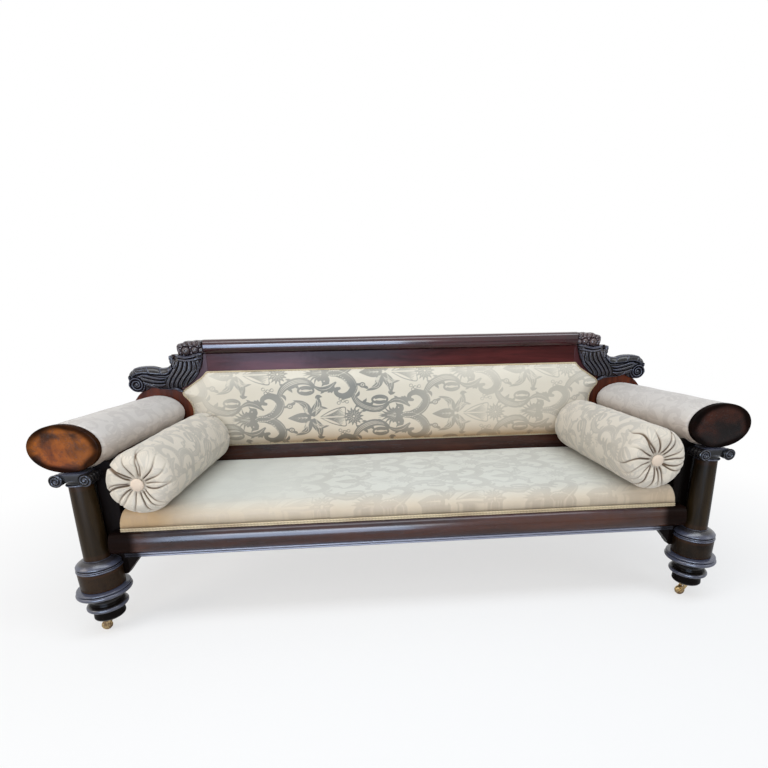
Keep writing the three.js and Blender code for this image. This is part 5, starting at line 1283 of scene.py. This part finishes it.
def along_curve(x, z, spine, widths, lobes=0, cut=0.22, steps=26):
    """Places beside a curve: (distance inside its edge, signed share across, share along).

    Its half-width runs through the widths, nicked by cut at each of the lobes."""
    path = curve_through(spine, steps)
    best, across, along = (np.full(x.shape, value) for value in (-1e9, 9.0, 0.0))
    for k in range(steps - 1):
        off_x, off_z, t = off_segment(x, z, path[k], path[k + 1])
        (dx, dz), share, off = path[k + 1] - path[k], (k + t) / (steps - 1), np.hypot(off_x, off_z)
        width = np.interp(share, np.linspace(0, 1, len(widths)), widths)
        if lobes:
            width = width * (1 - cut * np.abs(np.cos(math.pi * lobes * share))**3)
        nearer = width - off > best
        best = np.where(nearer, width - off, best)
        across = np.where(nearer, np.sign(off_x * dz - off_z * dx) * off / np.maximum(width, 0.3), across)
        along = np.where(nearer, share, along)
    return best, across, along


def raised(height, place, rise, lobes=0, vein=1.2, midrib=1.4):
    """Adds a rounded leaf or strand to a relief: a half ellipse across, with slanting veins when lobed."""
    edge, across, along = place
    flat = np.clip(np.abs(across), 0, 1)
    form = rise * np.sqrt(1 - flat**2)
    if lobes:
        veins = 0.5 + 0.5 * np.cos(TURN * (lobes * along - 0.9 * flat))
        form = form - vein * veins - midrib * bell(across, 0.14)
    return np.where(edge > 0, height + form, height)


def softened(field, rounds):
    """Averages a field with its four neighbours that many times."""
    for _ in range(rounds):
        p = np.pad(field, 1, mode="edge")
        field = (field + p[:-2, 1:-1] + p[2:, 1:-1] + p[1:-1, :-2] + p[1:-1, 2:]) / 5
    return field


def relief(node, way, x, z, edge, front, rear, y, look):
    """A block carved on both faces: front and rear heights over an outline, closed at its rim.

    Grid points just outside are drawn in to the outline along the edge distance's own slope."""
    step = x[0, 1] - x[0, 0]
    slope_z, slope_x = np.gradient(edge, step)
    pull = np.clip(edge, -1.6 * step, 0) / np.maximum(slope_x**2 + slope_z**2, 0.25)
    px, pz, inside = x - pull * slope_x, z - pull * slope_z, edge > 0
    front, rear = np.where(inside, front, 0), np.where(inside, rear, 0)
    cell = inside[:-1, :-1] | inside[1:, :-1] | inside[:-1, 1:] | inside[1:, 1:]
    quads = grid_faces(*x.shape)[cell.ravel()]
    used = np.unique(quads)
    beside = np.pad(cell, 1)
    shared = ~(beside[:-1, :-1] & beside[1:, :-1] & beside[:-1, 1:] & beside[1:, 1:]).ravel()
    number = np.full(x.size, -1)
    number[used] = np.arange(len(used))
    apart = used[~shared[used]]
    back_number = number.copy()
    back_number[apart] = len(used) + np.arange(len(apart))
    near, far = (np.stack([way * px, depth, pz], -1).reshape(-1, 3) for depth in (-front, rear))
    points = np.concatenate([near[used], far[apart]]) * MM + (0, y, 0)
    faces = np.concatenate([number[quads], back_number[quads][:, ::-1]]).tolist()
    # Ridges paler, a painted bluish highlight in the carved looks, and hollows darker: dark wax with painted
    # shade.
    wear_and_light = np.clip((front - softened(front, 9)) / 1.7, -1, 1).ravel()
    piece(node + "_carving", points, faces, "carved_mahogany", LOOKS[look], [node],
          marks={"wear_and_painted_light": np.concatenate([wear_and_light[used], wear_and_light[apart]])})


HORN_OUTLINE = [(1118, 777), (1110, 795), (1095, 809), (1075, 818), (1054, 821), (1031, 822), (1010, 821),
                (992, 817), (978, 813), (962, 814), (950, 817), (941, 824), (934, 831), (928, 842),
                (916, 855), (909, 861), (895, 863), (876, 862), (857, 862), (841, 864), (826, 867),
                (810, 869), (804, 864), (805, 850), (811, 829), (822, 804), (831, 785), (842, 770),
                (859, 754), (878, 740), (898, 730), (927, 725), (958, 726), (989, 728), (1014, 728),
                (1032, 730), (1045, 724), (1062, 717), (1084, 713.6), (1101, 720), (1112, 733), (1118, 750)]
HORN_GROOVE = [(1091, 776), (1083, 785), (1061, 791), (1034, 790.5), (1004, 787), (974, 784), (951, 786),
               (936, 799), (925, 812)]
HORN_STRANDS = [
    ([(1066, 781), (1050, 783.5), (1035, 781.5), (1006, 774), (976, 770), (955, 773)], (3, 6, 6.5, 6, 4, 2)),
    ([(1077, 779), (1062, 776), (1044, 769), (1015, 761), (984, 757), (962, 758)], (3, 6, 7, 7, 5, 2)),
    ([(1060, 766), (1038, 752), (1012, 743), (988, 741), (966, 745)], (3, 7, 8, 7, 3))]
# Leaves, collar and lip laid over a horn: spine, half-widths, rise, lobes
HORN_LEAVES = [
    ([(918, 816), (929, 836), (935, 858)], (7, 12, 7), 7, 3),
    ([(823, 854), (824, 835), (826, 816), (834, 795)], (9, 13, 10, 3), 8, 5),
    ([(998, 729), (1018, 740), (1035, 747), (1049, 757)], (2, 8, 8, 3), 8, 4),
    ([(934, 724), (919, 722), (904, 712)], (3, 9, 3), 8, 3),
    ([(944, 728), (925, 727), (910, 720)], (2, 6, 2), 9, 2),
    ([(898, 846), (884, 843), (869, 841), (848, 842), (828, 846), (810, 850)], (3.5, 5, 5, 5, 3.5), 7, 0),
    ([(910, 862), (897, 857), (877, 853), (857, 854), (840, 859), (823, 864), (807, 866)],
     (5, 6.5, 6, 6.5, 5), 8, 0)]
HORN_MOUTH = [(900, 852), (870, 847.5), (845, 848.5), (818, 856), (812, 861), (840, 853), (872, 849),
              (893, 853)]
HORN_STRIP = [(1001, 727), (958, 724), (928, 720), (906, 709), (898, 700)]
SCROLL_X, SCROLL_Z, CURL_X, CURL_Z = 1081, 747, 1104, 776


def gadroons(x, z):
    """Swelling ribs across the horn's throat, each with a fine ridge and groove."""
    left = np.interp(z, [728, 745, 770, 800, 820, 842], [968, 966, 955, 934, 921, 912])
    rib = (left - x) / np.interp(z, [730, 750, 775, 800, 840], [16.5, 17.5, 19.5, 20.5, 16.5])
    flute = 1 - np.abs(2 * (rib % 1) - 1)**3.2
    ridge = bell(rib % 1 - 0.66, 0.09) - 0.8 * bell(rib % 1 - 0.48, 0.08)
    return smooth(-0.15, 0.15, rib) * (1 - smooth(836, 842, z)) * (7.5 * flute - 4 + 1.1 * ridge)


def scales(x, z):
    """Leaves that overlap like scales above the horn's groove, each falling away to the next one's edge."""
    groove_z = np.interp(x, [925, 936, 951, 974, 1034, 1061, 1083, 1091],
                         [812, 799, 786, 784, 790.5, 791, 785, 776])
    above = smooth(-0.5, 0.5, z - groove_z) * (x > 925) * (1 - smooth(1080, 1095, x))
    borders, where = np.array([918, 934, 971, 1018, 1068]), x - 0.46 * (z - 787)
    k = np.clip(np.searchsorted(borders, where.ravel()) - 1, 0, 3).reshape(x.shape)
    u = np.clip((borders[k + 1] - where) / (borders[k + 1] - borders[k]), 0, 1)
    return above * (7 * (1 - u)**1.3 + 2.5 * bell(u, 0.08) - 5.5 * bell(1 - u, 0.08) + 2.5)


def scrolled(x, z, height, edge, dome):
    """Lays the scroll over a relief: a sine across each turn of a spiral, its eye, and the curl beside it."""
    off_x, off_z, most = x - SCROLL_X, z - SCROLL_Z, dome * 1.8 + 2
    r = np.hypot(off_x, off_z)
    turn = (r / 11.5 + np.arctan2(off_z, off_x) / TURN) % 1
    spiral = 17 + 8.5 * np.sin(math.pi * turn)**1.4 + 0.10 * r
    spiral = np.where(r < 8, 19 + 8 * np.sqrt(1 - np.clip(r / 8, 0, 1)**2), spiral)
    blend = 1 - smooth(31, 34.5, r)
    height = height * (1 - blend) + blend * np.minimum(spiral, most) - 5 * bell(r - 34, 1.8) * (edge > 3)
    curl_r = np.hypot(x - CURL_X, z - CURL_Z)
    return np.where(curl_r < 8.5, np.minimum(22 + 6 * np.cos(curl_r / 8.5 * TURN * 0.8), most), height)


def horn_height(x, z):
    """Front relief of a horn: scroll, scale-like leaves, flowing strands, gadroons, and a frilled mouth."""
    edge = signed_inside(x, z, curve_through(HORN_OUTLINE + HORN_OUTLINE[:1], 180)[:-1])
    dome = 25 * quarter_round(edge, 30)
    groove, _, _ = along_curve(x, z, HORN_GROOVE, (1, 1), steps=40)
    height = dome + gadroons(x, z) + scales(x, z) - 8 * bell(1 - groove, 2.4)
    for spine, widths in HORN_STRANDS:
        height = raised(height, along_curve(x, z, spine, widths), 8)
    for inset in (9.5, 17):
        height = height - np.where((x > 1040) & (z > 765), 1.8 * bell(edge - inset, 1.1), 0)
    height = scrolled(x, z, height, edge, dome)
    edges = [edge]
    for spine, widths, rise, lobes in HORN_LEAVES:
        place = along_curve(x, z, spine, widths, lobes or 5, 0.25 if lobes else 0.14)
        edges.append(place[0])
        height = raised(np.maximum(height, np.where(place[0] > 0, 13, 0)), place, rise, lobes)
    strip, _, _ = along_curve(x, z, HORN_STRIP, (3, 3.4, 3))
    height = np.where((strip > 0) & (height < 9), 6 * np.sqrt(np.clip(strip / 3.2, 0, 1)) + 3, height)
    edge = np.maximum.reduce([*edges, strip])
    height = height - 4 * smooth(-2, 2, signed_inside(x, z, HORN_MOUTH))
    return edge, np.clip(height, 1.2, 34.5) * smooth(0, 2.4, edge)**0.5, dome


FRUIT_OUTLINE = [(908, 866), (909, 878), (908, 890), (909, 900), (903, 908), (893, 911), (884, 912),
                 (876, 918), (860, 920), (845, 919), (830, 922), (812, 921), (793, 923), (792.4, 863),
                 (820, 862), (850, 852), (880, 851), (902, 858)]
FRUIT_LEAVES = [
    ([(897, 876), (903, 890), (898, 906)], (7, 10, 4)), ([(884, 893), (890, 903), (884, 911)], (6, 8, 3)),
    ([(866, 896), (874, 908), (870, 918)], (7, 9, 3)), ([(846, 897), (852, 909), (848, 919)], (7, 9, 3)),
    ([(828, 898), (832, 910), (826, 921)], (7, 8, 3)), ([(808, 898), (812, 910), (804, 921)], (7, 8, 3)),
    ([(890, 868), (880, 870), (893, 874)], (4, 5, 3)), ([(848, 868), (852, 876), (850, 890)], (4, 6, 3))]
# An apple, two smaller fruits and five berries: x, z, radius, height of the centre
FRUITS = [(868, 879, 17.5, 18), (831, 882, 14, 20), (806, 881, 11, 20), (847, 893, 5.5, 22),
          (888, 889, 6, 20), (819, 896, 5.5, 21), (846, 871, 5, 22), (890, 872, 5, 20)]


def fruit_height(x, z):
    """Relief of the fruit at the horn's mouth, with curling leaves between: (edge, front, rear)."""
    edge = signed_inside(x, z, FRUIT_OUTLINE)
    mound = quarter_round(edge, 22)
    height = 20 * mound
    for spine, widths in FRUIT_LEAVES:
        height = raised(height, along_curve(x, z, spine, widths, 4, 0.3), 8, 4, 2.2, 1.8)
    for centre_x, centre_z, radius, base in FRUITS:
        r = np.hypot(x - centre_x, z - centre_z) / radius
        ball = base + radius * (0.95 * np.sqrt(1 - np.clip(r, 0, 1)**2) - 0.2 * bell(r, 0.16))
        height = np.where(r < 1, np.maximum(ball, height * 0.6), height - 5 * bell(r - 1, 0.13))
    return edge, np.clip(height, 1, 37) * smooth(0, 3, edge)**0.5, 30 * mound


def carvings():
    """The horns and fruit at both ends of the crest."""
    x, z = np.meshgrid(np.arange(786, 1126, 1.05), np.arange(694, 876, 1.05))
    edge, front, dome = horn_height(x, z)
    rear = 1.25 * dome * smooth(0, 3, edge)**0.5 + 1.5 * smooth(0, 3, edge)
    fruit_x, fruit_z = np.meshgrid(np.arange(788, 914, 0.8), np.arange(846, 926, 0.8))
    fruit = fruit_height(fruit_x, fruit_z)
    for side, way in SIDES:
        relief("crest_horn_" + side, way, x, z, edge, front, rear, ROW_Y + 604.5 * MM, "carved")
        relief("crest_fruit_" + side, way, fruit_x, fruit_z, *fruit, ROW_Y + 615 * MM, "fruit")


carvings()


# Floor, light and camera

def pale_floor():
    """The floor's matt grey, which a glow turns to white away from the object, for the camera alone."""
    material, tree, shader = new_material("pale_floor", (0.9, 0.9, 0.9, 1))
    feed(tree, shader, {"Base Color": (0.82, 0.82, 0.82, 1), "Roughness": 0.9, "Specular IOR Level": 0.1})
    away = put(tree, "ShaderNodeVectorMath", {0: object_place(tree)}, operation="LENGTH").outputs["Value"]
    seen = put(tree, "ShaderNodeLightPath", {}).outputs["Is Camera Ray"]
    glow = put(tree, "ShaderNodeEmission", {"Color": (1, 1, 1, 1), "Strength": 1.0}).outputs[0]
    share = times(tree, ranged(tree, away, 1.0, 2.6, 0.6, 1.0), seen)
    mix = put(tree, "ShaderNodeMixShader", {0: share, 1: shader.outputs[0], 2: glow}).outputs[0]
    feed(tree, tree.nodes["Material Output"], {0: mix})
    return material


def white_world():
    """A background that is white to the camera and in the polish, and dim and cool as light."""
    world = bpy.data.worlds.new("studio")
    bpy.context.scene.world = world
    world.use_nodes = True
    tree = world.node_tree
    tree.nodes.clear()
    rays = put(tree, "ShaderNodeLightPath", {}).outputs
    seen = maths(tree, "MAXIMUM", rays["Is Camera Ray"], rays["Is Transmission Ray"])
    seen = maths(tree, "MAXIMUM", seen, rays["Is Glossy Ray"])
    dim, white = (put(tree, "ShaderNodeBackground", {"Color": colour, "Strength": strength}).outputs[0]
                  for colour, strength in (((0.93, 0.96, 1, 1), 0.42), ((1, 1, 1, 1), 1.0)))
    mix = put(tree, "ShaderNodeMixShader", {0: seen, 1: dim, 2: white}).outputs[0]
    put(tree, "ShaderNodeOutputWorld", {0: mix})


def studio():
    """A pale floor that keeps the shadow, and a white background."""
    floor = bpy.data.meshes.new("floor")
    floor.from_pydata([(-40, -20, 0), (40, -20, 0), (40, 90, 0), (-40, 90, 0)], [], [(0, 1, 2, 3)])
    floor.materials.append(pale_floor())
    linked("studio_floor", floor)
    white_world()


def lamp(name, place, aim, size, power, colour, sheen_only=False):
    """A rectangular softbox at a place, turned to its aim; one that is sheen only shows in polish alone."""
    light = bpy.data.lights.new(name, "AREA")
    light.shape, light.size, light.size_y = "RECTANGLE", *size
    light.energy, light.color = power, colour
    made = linked(name, light)
    made.location = place
    made.visible_diffuse = not sheen_only
    away = (made.location - type(made.location)(aim)).normalized()
    made.rotation_euler = away.to_track_quat("Z", "Y").to_euler()


def camera():
    """The solved camera: its axes from yaw, pitch and roll."""
    forward = np.array([math.sin(YAW) * math.cos(PITCH), math.cos(YAW) * math.cos(PITCH), -math.sin(PITCH)])
    level = np.array([math.cos(YAW), -math.sin(YAW), 0])
    up = np.cross(level, forward)
    right = math.cos(ROLL) * level + math.sin(ROLL) * up
    top = -math.sin(ROLL) * level + math.cos(ROLL) * up
    lens = bpy.data.cameras.new("view")
    lens.lens, lens.sensor_width, lens.shift_x, lens.shift_y = LENS, SENSOR, SHIFT_X, SHIFT_Y
    lens.sensor_fit = "HORIZONTAL"
    turn = Matrix(np.stack([right, top, -forward], 1).tolist()).to_4x4()
    turn.translation = EYE
    made = linked("view", lens)
    made.matrix_world = turn
    bpy.context.scene.camera = made


studio()
lamp("overhead_box", (0.1, -1.0, 3.1), (0, 0, 0.4), (3.8, 1.0), 62, (0.88, 0.94, 1))
lamp("front_box", (-0.6, -3.6, 1.5), (-0.2, 0.3, 0.7), (2.6, 0.8), 40, (0.92, 0.95, 1))
lamp("window_sheen", (-1.02, -3.8, 0.95), (-0.3, 0.3, 0.9), (2.75, 1.8), 190, (0.55, 0.72, 1), True)
lamp("warm_left", (-3.0, -1.4, 1.8), (-0.4, 0, 0.5), (1.4, 1.4), 26, (1, 0.9, 0.78))
lamp("right_fill", (3.0, -1.8, 1.6), (0.5, 0, 0.5), (1.4, 1.4), 14, (0.95, 0.97, 1))
camera()
bpy.context.scene.view_settings.view_transform = "Standard"
bpy.context.view_layer.update()
